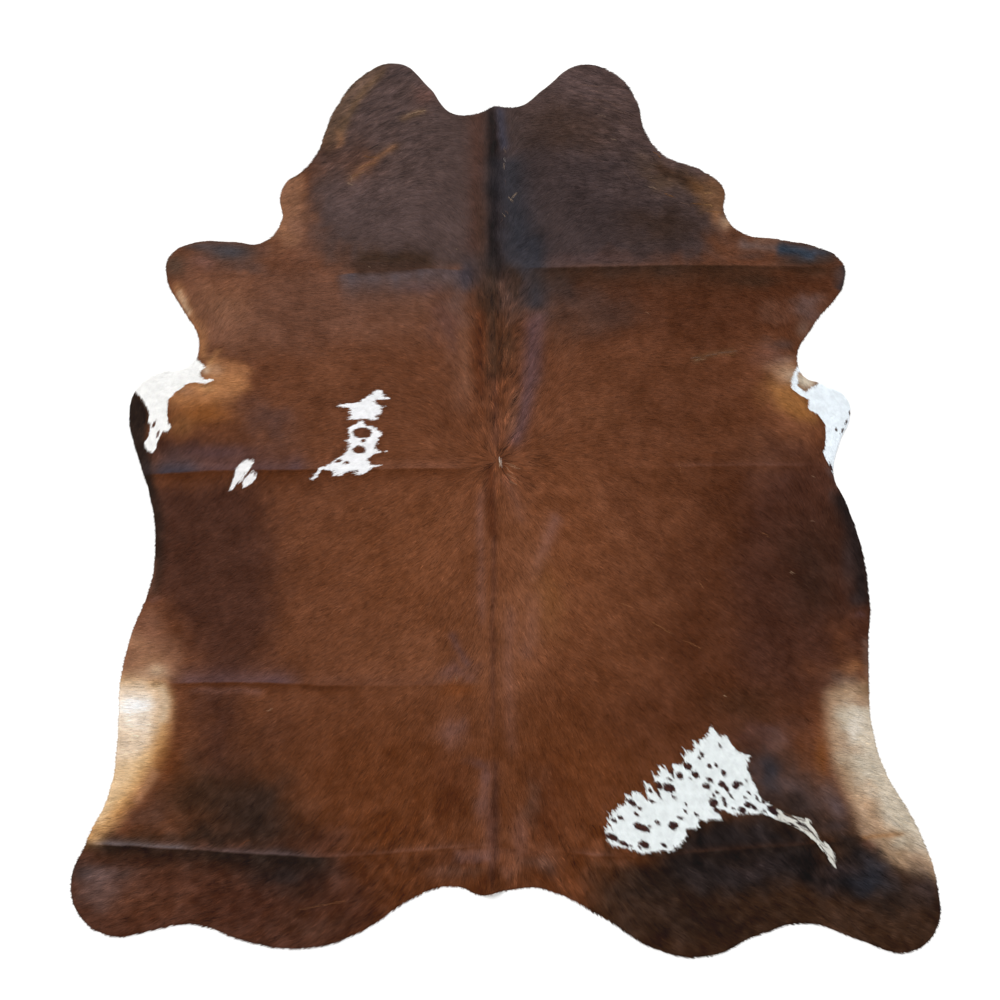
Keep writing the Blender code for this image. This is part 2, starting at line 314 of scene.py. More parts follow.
# ---------------------------------------------------------------- outline
def outline():
    """The same closed smooth curve as the solid's, in even small steps."""
    left = [(row[1], row[2]) for row in EDGE]
    right = [(row[3], row[4]) for row in reversed(EDGE)]
    p = np.array([NECK_RIDGE] + left + [TAIL_TIP, TAIL_NICK] + right)
    before, after = np.roll(p, 1, axis=0), np.roll(p, -1, axis=0)
    a = np.hypot(*(p - before).T)[:, None]
    b = np.hypot(*(after - p).T)[:, None]
    way = (after - p) / b + (p - before) / a
    size = np.hypot(*way.T)[:, None] * 2.5614
    come, go = p - way * a / size, p + way * b / size
    t = np.linspace(0.0, 1.0, 24, endpoint=False)[:, None]
    ring = []
    for k in range(len(p)):
        n = (k + 1) % len(p)
        ring.append((1 - t) ** 3 * p[k] + 3 * (1 - t) ** 2 * t * go[k]
                    + 3 * (1 - t) * t * t * come[n] + t ** 3 * p[n])
    return np.vstack(ring)


def even_steps(points, step):
    ring = np.vstack([points, points[:1]])
    run = np.concatenate([[0.0], np.cumsum(np.hypot(*np.diff(ring, axis=0).T))])
    count = int(round(run[-1] / step))
    at = np.linspace(0.0, run[-1], count, endpoint=False)
    return np.stack([np.interp(at, run, ring[:, 0]), np.interp(at, run, ring[:, 1])], 1)


DRAWN = outline()
COARSE = even_steps(DRAWN, 0.022)
CENTRE = (COARSE.min(0) + COARSE.max(0)) / 2
RING = even_steps(DRAWN, EDGE_STEP) - CENTRE
# The cut is not quite even: it wavers by less than a millimetre.
_run = np.arange(len(RING)) * EDGE_STEP
_out = np.roll(RING, -1, axis=0) - np.roll(RING, 1, axis=0)
_out = np.stack([_out[:, 1], -_out[:, 0]], 1) / np.hypot(*_out.T)[:, None]
_waver = (value_noise(_run / 0.034, 0 * _run, 3) - 0.5) * 0.0022 \
    + (value_noise(_run / 0.013, 0 * _run, 5) - 0.5) * 0.0010
RING = RING + _out * (_waver - 0.0004)[:, None]


# ----------------------------------------------------------------- relief
def fold_lift(points, row):
    t = np.linspace(0.0, 1.0, 41)
    a, b, c = (1 - t) * (1 - 2 * t), 4 * t * (1 - t), t * (2 * t - 1)
    line = np.stack([a * row[1] + b * row[3] + c * row[5],
                     a * row[2] + b * row[4] + c * row[6]], 1) - CENTRE
    gap, _, along = line_gap(points, line, reach=row[10])
    height = np.interp(along, (0.0, 0.5, 1.0), (row[7], row[8], row[9]))
    return height * np.cos(np.clip(gap / row[10], 0.0, 1.0) * math.pi / 2) ** 2


def lift(points):
    """How far the hide stands off the floor, as on the solid."""
    folds = np.zeros(len(points))
    for row in FOLDS:
        folds = np.maximum(folds, fold_lift(points, row))
    swells = np.zeros(len(points))
    for _, x, y, long, wide, turn, height in SWELLS:
        a = math.radians(turn)
        dx, dy = points[:, 0] + CENTRE[0] - x, points[:, 1] + CENTRE[1] - y
        u = (dx * math.cos(a) + dy * math.sin(a)) / long
        v = (-dx * math.sin(a) + dy * math.cos(a)) / wide
        swells = np.maximum(swells, height * np.cos(np.clip(np.hypot(u, v), 0, 1) * math.pi / 2) ** 2)
    return np.maximum(0.0, folds + 0.6 * swells - SLACK)


def crease_lines():
    for name, height, far, near, places in CREASES:
        line = rounded(placed(*np.array(places, float).T), steps=8)
        yield name, height, far, near, line


def crease_height(points):
    """The sharp crests along the folds, with a slight trough on the near side."""
    total = np.zeros(len(points))
    for name, height, far, near, line in crease_lines():
        gap, side, along = line_gap(points, line, reach=0.045)
        # Lines across run left to right, so + is their far side.
        run = line[-1] - line[0]
        if run[0] < 0 and abs(run[0]) > abs(run[1]):
            side = -side
        fade = smooth(along, 0.0, 0.10) * smooth(1 - along, 0.0, 0.10)
        fade = 0.25 + 0.75 * fade
        uneven = 0.65 + 0.7 * value_noise(along * 13.0, 0 * along, len(name))
        wide = np.where(side > 0, far, near)
        crest = np.exp(-np.abs(gap / wide) ** 1.3)
        trough = np.where(side < 0, np.exp(-((gap - 2.4 * near) / (1.2 * near)) ** 2), 0.0)
        total += height * fade * uneven * (crest - 0.22 * trough)
    return total


def lumps(points):
    """The slight unevenness of a hide that has been rolled up."""
    x, y = points[:, 0], points[:, 1]
    broad = value_noise(x / 0.085, y / 0.085, 1) - 0.5
    fine = value_noise(x / 0.034, y / 0.034, 2) - 0.5
    return 0.0009 * broad + 0.0004 * fine


def coat_top(points, edge_gap):
    """Height of the coat's surface."""
    roll = 1 - np.clip(edge_gap / ROLL, 0.0, 1.0)
    thick = LEATHER * 0.75 + (COAT + LEATHER * 0.25) * np.sqrt(np.maximum(0.0, 1 - roll ** 2.2))
    soft = smooth(edge_gap, 0.002, 0.02)
    return lift(points) + thick + soft * (np.maximum(crease_height(points), -0.0008)
                                          + lumps(points))


# -------------------------------------------------------------- hair's way
# Which way the hair lies: where, and the angle from root to tip in degrees,
# counter-clockwise from the right.
FLOW = (
    (497, 461, 90, 0.0),
    (494, 448, 90, 1.0), (486, 452, 135, 1.0), (508, 452, 45, 1.0),
    (482, 461, 180, 1.0), (512, 461, 0, 1.0),
    (497, 474, 270, 1.0), (486, 470, 225, 1.0), (508, 470, 315, 1.0),
    (493, 400, 90, 1.0), (470, 400, 125, 1.0), (520, 400, 55, 1.0),
    (493, 330, 90, 1.0), (465, 330, 130, 1.0), (522, 330, 50, 1.0),
    (493, 250, 92, 1.0), (462, 250, 142, 1.0), (525, 250, 40, 1.0),
    (493, 190, 90, 1.0), (460, 180, 160, 1.0), (526, 180, 22, 1.0),
    (493, 125, 90, 0.7), (450, 128, 180, 1.0), (540, 120, 0, 1.0),
    (400, 90, 214, 1.0), (360, 130, 214, 1.0), (420, 150, 208, 1.0), (380, 200, 205, 1.0),
    (590, 85, 345, 1.0), (620, 130, 340, 1.0), (570, 160, 350, 1.0), (680, 200, 345, 1.0),
    (310, 190, 215, 1.0), (300, 240, 200, 1.0), (220, 260, 195, 1.0), (195, 320, 250, 1.0),
    (720, 240, 345, 1.0), (800, 260, 345, 1.0), (800, 330, 300, 1.0),
    (400, 300, 175, 1.0), (300, 320, 182, 1.0), (230, 380, 185, 1.0), (180, 380, 200, 1.0),
    (420, 380, 165, 1.0), (360, 400, 186, 1.0), (350, 450, 198, 1.0), (290, 440, 200, 1.0),
    (155, 420, 250, 1.0), (142, 410, 262, 1.0), (240, 475, 234, 1.0), (190, 470, 225, 1.0),
    (590, 300, 10, 1.0), (680, 320, 358, 1.0), (760, 360, 350, 1.0),
    (600, 400, 5, 1.0), (700, 430, 345, 1.0), (780, 420, 335, 1.0),
    (820, 400, 300, 1.0), (832, 440, 285, 1.0), (840, 500, 280, 1.0),
    (440, 520, 222, 1.0), (470, 560, 232, 1.0), (520, 560, 308, 1.0),
    (380, 560, 212, 1.0), (300, 560, 207, 1.0), (220, 560, 205, 1.0), (170, 560, 215, 1.0),
    (560, 500, 322, 1.0), (620, 560, 325, 1.0), (700, 560, 325, 1.0), (790, 560, 325, 1.0), (845, 570, 300, 1.0),
    (470, 680, 240, 1.0), (520, 680, 300, 1.0), (400, 660, 215, 1.0), (300, 680, 212, 1.0),
    (220, 680, 205, 1.0), (160, 650, 190, 1.0), (140, 690, 182, 1.0), (130, 760, 180, 1.0),
    (600, 660, 322, 1.0), (700, 680, 318, 1.0), (780, 680, 325, 1.0), (840, 690, 345, 1.0), (860, 770, 348, 1.0),
    (470, 790, 250, 1.0), (518, 790, 290, 1.0), (400, 780, 238, 1.0), (300, 780, 232, 1.0),
    (220, 790, 225, 1.0), (150, 810, 200, 1.0),
    (590, 780, 300, 1.0), (680, 780, 305, 1.0), (720, 800, 308, 1.0), (790, 800, 318, 1.0), (880, 830, 335, 1.0),
    (820, 850, 305, 1.0),
    (490, 880, 265, 1.0), (430, 880, 235, 1.0), (330, 900, 215, 1.0), (220, 900, 200, 1.0), (110, 880, 200, 1.0),
    (560, 880, 300, 1.0), (680, 910, 325, 1.0), (780, 900, 335, 1.0), (890, 900, 335, 1.0),
)


def hair_way(points):
    """Unit vectors along the hair, from root to tip."""
    at = placed([r[0] for r in FLOW], [r[1] for r in FLOW])
    angle = np.radians([r[2] for r in FLOW])
    share = np.array([r[3] for r in FLOW])
    way = np.zeros((len(points), 2))
    for (x, y), a, s in zip(at, angle, share):
        if s == 0:
            continue
        d2 = (points[:, 0] - x) ** 2 + (points[:, 1] - y) ** 2
        w = s / (d2 + 0.018 ** 2) ** 1.7
        way[:, 0] += w * math.cos(a)
        way[:, 1] += w * math.sin(a)
    size = np.maximum(np.hypot(*way.T), 1e-9)
    return way / size[:, None]


# -------------------------------------------------------------------- paint
COLOURS = {                     # as seen on a screen, 0 to 255
    "russet":   (101, 60, 39),
    "chestnut": (113, 67, 42),
    "copper":   (124, 78, 54),
    "cinnamon": (112, 60, 29),
    "walnut":   (82, 47, 30),
    "cocoa":    (87, 48, 27),
    "ginger":   (96, 53, 29),
    "bay":      (73, 44, 33),
    "umber":    (57, 39, 28),
    "seal":     (43, 32, 26),
    "soot":     (37, 31, 30),
    "clay":     (108, 73, 58),
    "ash":      (92, 74, 72),
    "smoke":    (79, 63, 60),
    "dusk":     (63, 51, 50),
    "slate":    (50, 49, 55),
    "night":    (45, 49, 58),
    "steel":    (66, 63, 74),
    "iron":     (61, 55, 62),
    "plum":     (91, 65, 65),
    "lilac":    (108, 96, 97),
    "taupe":    (116, 91, 80),
    "dust":     (103, 81, 77),
    "buff":     (136, 95, 71),
    "mocha":    (74, 56, 51),
    "ashen":    (88, 72, 71),
    "blush":    (172, 135, 108),
    "caramel":  (152, 102, 58),
    "milk":     (250, 245, 242),
    "tawny":    (136, 82, 42),
    "camel":    (158, 114, 86),
    "wheat":    (221, 183, 136),
    "drab":     (150, 122, 99),
    "pewter":   (72, 68, 72),
    "oak":      (80, 60, 48),
    "cinder":   (93, 63, 54),
    "sand":     (214, 180, 142),
    "damson":   (50, 34, 37),
    "cork":     (67, 47, 38),
    "ink":      (52, 59, 70),
    "bark":     (60, 48, 43),
    "hazel":    (168, 140, 113),
    "sienna":   (124, 83, 63),
    "amber":    (142, 96, 64),
    "ember":    (82, 44, 25),
    "putty":    (200, 187, 168),
    "pitch":    (25, 17, 15),
    "rose":     (122, 84, 74),
    "fawn":     (169, 115, 74),
    "tan":      (134, 90, 52),
    "olive":    (109, 82, 58),
    "honey":    (200, 153, 101),
    "biscuit":  (196, 166, 136),
    "cream":    (227, 203, 178),
    "bone":     (243, 235, 226),
}

# The coat's tones, laid on one over the other, with painted sheen and painted shade along the spine's fold, the creases
# and the folds among them.
#   dab: a soft ellipse  (u, v, half width, half height, turn)
#   area: a soft-edged shape  ((u, v), ...), spread
#   line: a soft line  ((u, v), ...), half width
#   far, near: a band along one side of a crease that ends sharply at it, painted sheen on the slope that catches the
#       light, painted shade on the slope turned from it
#         crease, from and to (shares of its length), reach
PAINT = (
    # ---- the back and the sides, from the neck down
    ("area", "shoulder_left",  "clay",     0.70, ((180, 268), (345, 262), (450, 280), (440, 330), (330, 345), (200, 350)), 30),
    ("area", "neck",           "smoke",    0.95, ((318, 40), (700, 40), (738, 240), (700, 264), (480, 272),
                                                  (345, 266), (312, 236), (316, 160)), 20),
    ("area", "neck_right",     "dusk",     0.85, ((500, 96), (560, 140), (640, 150), (700, 190), (716, 240),
                                                  (690, 264), (498, 264)), 20),
    ("area", "withers_right",  "dusk",     0.85, ((496, 255), (640, 255), (615, 285), (575, 300), (540, 312), (496, 312)), 18),
    ("area", "withers_left",   "dusk",     0.60, ((452, 255), (496, 255), (496, 300), (484, 292), (466, 284)), 10),
    ("dab",  "elbow_left",     "copper",   0.60, (228, 290, 40, 26, 0)),
    ("dab",  "shoulder_glow",  "sienna",   0.75, (232, 328, 40, 34, 0)),
    ("dab",  "back_glow",      "copper",   0.40, (330, 380, 30, 26, 0)),
    ("area", "shoulder_right", "walnut",   0.95, ((560, 266), (850, 262), (840, 300), (790, 340), (700, 345), (600, 318)), 22),
    ("dab",  "back_right",     "walnut",   0.45, (690, 400, 90, 70, 0)),
    ("dab",  "loin_left",      "chestnut", 0.90, (415, 555, 110, 130, 0)),
    ("dab",  "loin_right",     "chestnut", 0.85, (560, 550, 70, 140, 0)),
    ("dab",  "loin_low",       "copper",   0.40, (400, 660, 90, 44, 0)),
    ("dab",  "loin_mid",       "copper",   0.60, (500, 655, 34, 64, 0)),
    ("area", "side_right",     "walnut",   0.90, ((700, 470), (760, 440), (800, 450), (880, 560), (830, 690),
                                                  (760, 760), (680, 740), (660, 640)), 34),
    ("area", "flank_right",    "bay",      0.95, ((745, 500), (790, 445), (870, 470), (890, 650), (800, 710), (745, 690), (734, 600)), 26),
    ("area", "flank_left",     "bay",      0.92, ((120, 484), (258, 486), (282, 560), (262, 650), (236, 700), (240, 770),
                                                  (206, 770), (200, 700), (196, 640), (150, 590), (120, 580)), 26),
    ("dab",  "rump_left",      "ginger",   0.85, (390, 790, 115, 110, 0)),
    ("dab",  "rump_right",     "ginger",   0.85, (575, 780, 80, 120, 0)),
    ("dab",  "rump_low",       "cocoa",    0.70, (430, 890, 140, 50, 0)),
    ("dab",  "rump_mid_l",     "ember",    0.65, (450, 786, 22, 40, 0)),
    ("dab",  "rump_mid_r",     "ember",    0.75, (548, 815, 26, 62, 0)),
    ("dab",  "flank_dim",      "bay",      0.35, (275, 735, 30, 30, 0)),
    ("dab",  "back_dim_r",     "walnut",   0.40, (625, 332, 44, 24, 0)),
    ("dab",  "withers_low_r",  "mocha",    0.60, (600, 310, 50, 26, 0)),
    # painted blue-grey sheen just above the right shoulder crease
    ("dab",  "withers_band_r", "mocha",    0.45, (600, 262, 70, 7, 0)),
    ("dab",  "withers_mid_r",  "mocha",    0.30, (560, 320, 40, 40, 0)),
    ("spot", "withers_band_s", "plum",     0.40, (590, 261, 66, 9, 0)),
    ("dab",  "back_warm_r",    "copper",   0.40, (590, 415, 34, 18, 0)),
    ("area", "leg_left_all",   "bay",      0.80, ((70, 846), (180, 848), (310, 830), (372, 880), (380, 930), (330, 980), (40, 980), (40, 860)), 24),
    ("area", "leg_right_all",  "umber",    0.90, ((606, 870), (650, 850), (700, 810), (760, 800), (850, 810), (890, 850), (990, 880),
                                                  (980, 990), (600, 990), (590, 910)), 22),

    # ---- left of the neck
    ("area", "cheek_tan",      "olive",    0.50, ((392, 58), (372, 84), (352, 111), (342, 139), (330, 150), (300, 140), (320, 80), (350, 50)), 8),
    ("line", "cheek_line",     "olive",    0.55, ((386, 66), (366, 88), (350, 111), (340, 138)), 5),
    ("line", "cheek_rim",      "taupe",    0.45, ((384, 66), (364, 82), (350, 102), (344, 120)), 5),
    ("dab",  "cheek_glow",     "fawn",     0.45, (338, 137, 6, 12, 0)),
    ("spot", "poll_left",      "rose",     0.55, (425, 96, 14, 12, 0)),
    ("spot", "poll_left_rim",  "dusk",     0.50, (404, 73, 18, 6, 0)),
    ("line", "cheek_streak",   "olive",    0.60, ((400, 120), (413, 115), (427, 110)), 4),
    ("dab",  "nape_warm",      "dust",     0.50, (356, 182, 30, 14, 20)),
    ("line", "nape_streak",    "fawn",     0.50, ((346, 185), (360, 170), (374, 160), (388, 150), (400, 144)), 4),
    ("dab",  "nape_glow",      "buff",     0.45, (362, 166, 28, 8, 40)),
    ("dab",  "nape_shade",     "walnut",   0.35, (350, 160, 40, 30, 0)),
    # painted bluish-grey sheen on the left of the neck
    ("dab",  "nape_mauve",     "ash",      0.40, (345, 205, 50, 30, 0)),
    ("dab",  "neck_low_mauve", "ash",      0.25, (410, 215, 60, 40, 0)),
    ("area", "throat_left",    "buff",     0.88, ((268, 165), (302, 168), (306, 220), (300, 246), (262, 246)), 10),
    ("line", "throat_rim",     "fawn",     0.20, ((280, 200), (281, 222), (288, 236), (304, 240)), 6),
    ("spot", "throat_dim",     "clay",     0.50, (299, 228, 12, 14, 0)),
    ("dab",  "nape_low",       "clay",     0.50, (310, 245, 26, 20, 0)),
    # painted shade of the fold just above the left shoulder crease
    ("dab",  "smudge_soft",    "umber",    0.40, (392, 260, 50, 14, 0)),
    ("area", "smudge_left",    "umber",    0.88, ((358, 253), (392, 255), (430, 252), (432, 269), (410, 270.5), (382, 272), (358, 273.5)), 6),

    # ---- along the spine, with painted shade on the left flank and in the trough of its fold and painted bluish sheen on its right flank
    ("line", "spine_shade",    "bay",      0.60, ((478, 100), (478, 180), (478, 262)), 14),
    ("line", "spine_dark",     "pitch",    0.92, ((491, 100), (493, 150), (494, 200), (493, 240), (493, 270)), 9),
    ("line", "spine_dark_low", "umber",    0.70, ((490, 262), (492, 300), (494, 350), (495, 385)), 11),
    ("line", "spine_dark_end", "bay",      0.55, ((495, 370), (496, 410), (495, 450)), 6),
    ("line", "spine_slate",    "slate",    0.80, ((506, 150), (510, 190), (520, 240), (530, 280)), 24),
    ("spot", "withers_deep",   "soot",     0.70, (495, 262, 13, 22, 0)),
    ("spot", "withers_deep_b", "umber",    0.55, (484, 302, 12, 22, 0)),
    ("dab",  "spine_low_dark", "slate",    0.60, (512, 240, 12, 26, 0)),
    ("dab",  "spine_low_warm", "umber",    0.70, (511, 284, 12, 22, 0)),
    ("line", "spine_blue",     "steel",    0.85, ((501, 106), (502, 130), (505, 152)), 6),
    ("line", "blue_band",      "slate",    0.70, ((534, 232), (536, 260), (536, 296), (533, 312)), 12),
    ("line", "blue_band_low",  "plum",     0.85, ((534, 308), (532, 345), (528, 390), (519, 430), (508, 450)), 11),
    ("spot", "spine_side_dim", "umber",    0.60, (509, 343, 9, 26, 0)),
    ("line", "blue_band_lift", "plum",     0.50, ((541, 308), (539, 345), (536, 390)), 9),
    ("line", "spine_side_warm","sienna",   0.45, ((516, 385), (514, 410), (511, 436)), 7),
    ("spot", "whorl_dim",      "walnut",   0.50, (503, 462, 8, 13, 0)),
    ("spot", "spine_top_dim",  "umber",    0.35, (481, 232, 7, 46, 0)),
    ("spot", "spine_top_blue", "steel",    0.60, (501, 134, 5, 22, 0)),
    ("line", "bright_left",    "sienna",   0.60, ((464, 310), (464, 350), (468, 400)), 8),
    ("line", "warm_left",      "ember",    0.80, ((480, 305), (479, 350), (480, 385), (481, 405)), 7),
    ("line", "cool_left",      "clay",     0.35, ((452, 290), (452, 350), (462, 420)), 14),
    ("dab",  "cool_left_top",  "dust",     0.50, (462, 300, 14, 22, 0)),
    ("dab",  "cool_left_low",  "plum",     0.40, (445, 325, 16, 30, 0)),
    ("spot", "cool_band_low",  "plum",     0.60, (420, 287, 30, 7, 0)),
    # below the whorl: painted sheen left of the fold, painted shade in its trough, painted sheen in V-shaped bands and
    # a pink streak to its right
    ("line", "back_left_band", "rose",     0.45, ((482, 482), (480, 550), (482, 630)), 6),
    ("line", "spine_trough",   "bay",      0.55, ((494, 470), (494, 560), (493, 660), (493, 740)), 4),
    ("line", "spine_trough_b", "ember",    0.90, ((489, 462), (490, 480), (491, 505), (493, 540)), 6),
    ("spot", "spine_dim_c",    "walnut",   0.35, (530, 482, 16, 12, 0)),
    ("line", "v_band_a",       "rose",     0.35, ((503, 474), (514, 495), (524, 525)), 8),
    ("line", "v_band_b",       "rose",     0.65, ((558, 510), (545, 545), (530, 585)), 9),
    ("line", "v_band_c",       "rose",     0.65, ((530, 590), (532, 625), (524, 662)), 10),
    ("dab",  "loin_light",     "copper",   0.75, (524, 590, 26, 100, 0)),
    ("dab",  "loin_glow",      "tan",      0.30, (550, 600, 22, 40, 0)),
    ("line", "spine_pink",     "rose",     0.35, ((512, 600), (508, 680), (514, 760)), 8),
    ("line", "left_streak",    "plum",     0.55, ((450, 630), (460, 650), (470, 668)), 5),
    ("dab",  "sheen_a",        "rose",     0.75, (452, 732, 22, 16, -20)),
    ("dab",  "sheen_b",        "plum",     0.50, (479, 768, 13, 10, -30)),
    ("dab",  "sheen_c",        "rose",     0.45, (482, 802, 9, 26, 0)),
    ("spot", "sheen_d",        "rose",     0.55, (521, 836, 10, 26, 0)),
    ("spot", "sheen_j",        "walnut",   0.60, (444, 862, 34, 20, 0)),
    ("dab",  "sheen_e",        "rose",     0.35, (512, 868, 14, 12, 0)),
    ("spot", "sheen_h",        "dust",     0.45, (455, 872, 34, 7, 0)),
    ("dab",  "sheen_i",        "mocha",    0.40, (533, 800, 12, 30, 0)),
    ("spot", "sheen_k",        "plum",     0.45, (492, 830, 9, 34, 0)),
    ("spot", "sheen_m",        "rose",     0.60, (482, 808, 10, 14, 0)),
    ("spot", "sheen_n",        "plum",     0.50, (486, 778, 7, 12, 0)),
    ("spot", "sheen_o",        "walnut",   0.55, (448, 874, 32, 9, 0)),
    ("spot", "sheen_l",        "rose",     0.30, (484, 790, 8, 16, 0)),
    ("dab",  "sheen_g",        "mocha",    0.60, (545, 862, 24, 14, 0)),
    ("dab",  "sheen_f",        "plum",     0.50, (472, 856, 20, 8, 0)),
    # painted shade in the fold's trough over the rump
    ("line", "trough_low",     "bay",      0.80, ((495, 755), (495, 800), (494, 840), (491, 890)), 5),

    # ---- right of the neck
    ("dab",  "poll_right",     "ash",      0.50, (580, 82, 40, 16, 0)),
    ("dab",  "poll_right_dark","umber",    0.45, (560, 130, 60, 30, 0)),
    ("dab",  "cheek_right",    "olive",    0.45, (668, 178, 40, 16, -25)),
    ("line", "cheek_right_dim","umber",    0.85, ((652, 166), (674, 174), (692, 184), (702, 194)), 8),
    ("dab",  "cheek_right_dark","smoke",   0.40, (668, 192, 34, 9, -20)),
    ("spot", "throat_right_in","fawn",     0.55, (716, 218, 7, 10, 0)),
    ("spot", "throat_right_rim","biscuit", 0.75, (727, 223, 8, 8, 0)),
    ("dab",  "neck_dark_right","umber",    0.60, (665, 225, 44, 26, 0)),
    ("dab",  "neck_mauve_r",   "smoke",    0.70, (625, 185, 30, 24, 0)),
    ("area", "throat_right",   "tan",      0.50, ((690, 180), (712, 176), (735, 190), (735, 214), (702, 212)), 8),
    ("dab",  "throat_low_r",   "cinnamon", 0.45, (722, 240, 22, 16, 0)),
    ("line", "fore_right_top", "lilac",    0.55, ((736, 243), (760, 246), (788, 248)), 7),
    ("line", "fore_right_shine","taupe",   0.60, ((752, 241), (768, 238), (784, 241)), 4),
    ("spot", "fore_right_dim", "umber",    0.65, (757, 281, 34, 8, 0)),
    ("spot", "fore_right_in",  "mocha",    0.60, (752, 256, 20, 6, 0)),
    ("spot", "fore_right_deep","bark",     0.90, (806, 261, 36, 8, 6)),
    ("line", "fore_right_blue","ink",      1.00, ((776, 247), (788, 250), (802, 252), (818, 256)), 9),
    ("spot", "fore_right_tail","bark",     0.70, (828, 254, 12, 9, 0)),
    ("spot", "fore_right_cap", "ink",      0.75, (820, 251, 14, 6, 0)),
    ("line", "fore_right_curl","slate",    0.75, ((843, 264), (845, 276), (839, 291)), 6),
    ("spot", "fore_right_tip", "umber",    0.60, (816, 272, 32, 8, 0)),
    ("spot", "fore_right_rim", "smoke",    0.60, (838, 276, 7, 14, 0)),
    ("dab",  "fore_right_low", "dust",     0.75, (812, 306, 20, 16, 20)),
    ("spot", "fore_right_edge","taupe",    0.75, (803, 329, 9, 12, 0)),
    ("dab",  "fore_right_mid", "clay",     0.60, (774, 312, 22, 12, 20)),
    ("dab",  "fore_right_grey","smoke",    0.30, (770, 350, 22, 8, 0)),
    ("spot", "fore_right_cool","smoke",    0.60, (784, 344, 13, 6, 0)),
    ("dab",  "elbow_grey",     "taupe",    0.75, (786, 359, 13, 9, 0)),
    ("dab",  "elbow_deep",     "copper",   0.75, (800, 424, 30, 34, 0)),
    ("spot", "elbow_low",      "tan",      0.60, (814, 416, 9, 12, 0)),
    ("area", "elbow_right",    "caramel",  0.90, ((770, 386), (790, 384), (800, 391), (811, 402), (813, 418), (800, 420), (780, 410)), 8),
    ("spot", "elbow_blush",    "blush",    1.00, (787, 373, 18, 15, 0)),
    ("spot", "elbow_blush_b",  "blush",    0.35, (770, 366, 12, 8, 0)),
    ("spot", "elbow_cool",     "rose",     0.45, (768, 356, 22, 12, 0)),
    ("spot", "elbow_pale",     "putty",    1.00, (805, 382, 17, 10, -20)),
    ("dab",  "elbow_glow",     "tan",      0.40, (776, 396, 22, 20, 0)),
    ("line", "shoulder_scar",  "olive",    0.50, ((690, 360), (712, 354), (738, 351)), 4),

    # ---- the left fore leg and flap
    ("spot", "fore_left_blue", "pewter",   0.92, (229, 251, 33, 12, -2)),
    ("spot", "fore_left_top",  "pewter",   0.60, (200, 247, 20, 5, 0)),
    ("dab",  "fore_left_cool", "smoke",    0.35, (232, 262, 34, 9, 0)),
    ("spot", "fore_left_tip",  "oak",      0.88, (174, 265, 15, 14, 0)),
    ("spot", "fore_left_pale", "rose",     0.70, (203, 262, 15, 9, 0)),
    ("spot", "fore_left_in",   "rose",     0.30, (264, 249, 8, 6, 0)),
    ("dab",  "fore_left_grey", "smoke",    0.45, (246, 268, 26, 7, 0)),
    ("line", "fore_left_rim",  "amber",    0.92, ((173, 280), (181, 296), (190, 311), (197, 328), (203, 350)), 7),
    ("line", "fore_left_shine","biscuit",  0.70, ((177, 290), (184, 303), (191, 316)), 4),
    ("spot", "fore_left_corner","fawn",    0.90, (202, 350, 6, 11, 0)),
    ("dab",  "fore_left_light","buff",     0.40, (222, 304, 34, 22, 0)),
    ("spot", "fore_left_amber","amber",    0.70, (203, 338, 8, 20, 0)),
    ("area", "elbow_left_pale","fawn",     0.75, ((204, 360), (226, 366), (246, 368), (254, 380), (226, 386), (206, 380)), 10),
    ("dab",  "elbow_left_hot", "honey",    0.50, (206, 364, 9, 9, 0)),
    ("spot", "elbow_left_rim", "cream",    0.80, (205, 371, 6, 6, 0)),
    ("spot", "elbow_left_tan", "blush",    0.75, (216, 372, 10, 9, 0)),
    ("area", "flap_tan",       "fawn",     0.88, ((164, 382), (215, 374), (240, 376), (248, 388), (238, 398), (222, 406), (204, 412), (184, 412), (172, 408), (164, 398)), 9),
    ("spot", "flap_blush",     "camel",    0.60, (184, 391, 12, 6, 0)),
    ("spot", "flap_glow",      "honey",    0.35, (206, 388, 12, 6, 0)),
    ("spot", "flap_caramel",   "tawny",    0.75, (202, 414, 30, 10, 0)),
    ("spot", "flap_orange",    "tawny",    0.85, (206, 413, 34, 15, 0)),
    ("spot", "flap_tan_low",   "tan",      0.60, (180, 426, 18, 13, 0)),
    ("dab",  "flap_dark",      "bay",      0.85, (190, 448, 46, 12, -5)),
    ("dab",  "flap_dark_b",    "cinder",   0.85, (266, 424, 36, 22, -30)),
    ("spot", "flap_mauve",     "plum",     0.75, (218, 452, 52, 10, 0)),
    ("spot", "flap_mauve_b",   "smoke",    0.50, (172, 452, 13, 9, 0)),
    ("dab",  "girth_dim",      "bay",      0.60, (170, 450, 30, 12, 0)),
    ("area", "flap_strip",     "seal",     0.95, ((128, 388), (135, 390), (144, 400), (149, 414), (146, 440), (152, 462), (156, 500), (140, 500), (120, 420)), 4),
    ("line", "side_left_rim",  "seal",     0.75, ((150, 480), (157, 530), (155, 570), (150, 600)), 9),
    ("line", "side_left_warm", "clay",     0.85, ((152, 558), (152, 576), (148, 595)), 6),
    ("dab",  "side_left_top",  "bay",      0.70, (200, 500, 50, 20, 0)),

    # ---- the left flank
    # painted highlight on the tab below the left tuck
    ("dab",  "tuck_left",      "rose",     0.55, (150, 604, 10, 6, 0)),
    ("area", "tuft_left",      "sienna",   0.85, ((148, 606), (160, 614), (166, 632), (182, 640), (182, 662), (168, 680), (120, 680), (120, 640), (136, 614)), 9),
    ("spot", "tuft_left_low",  "camel",    1.00, (149, 662, 32, 15, 0)),
    ("spot", "tuft_left_mid",  "camel",    0.60, (144, 645, 20, 9, 0)),
    ("spot", "tuft_left_rim",  "camel",    0.80, (132, 640, 15, 13, 0)),
    ("area", "flank_honey",    "honey",    0.92, ((122, 675), (150, 675), (164, 680), (170, 692), (172, 706), (169, 728), (167, 748), (160, 765), (149, 781),
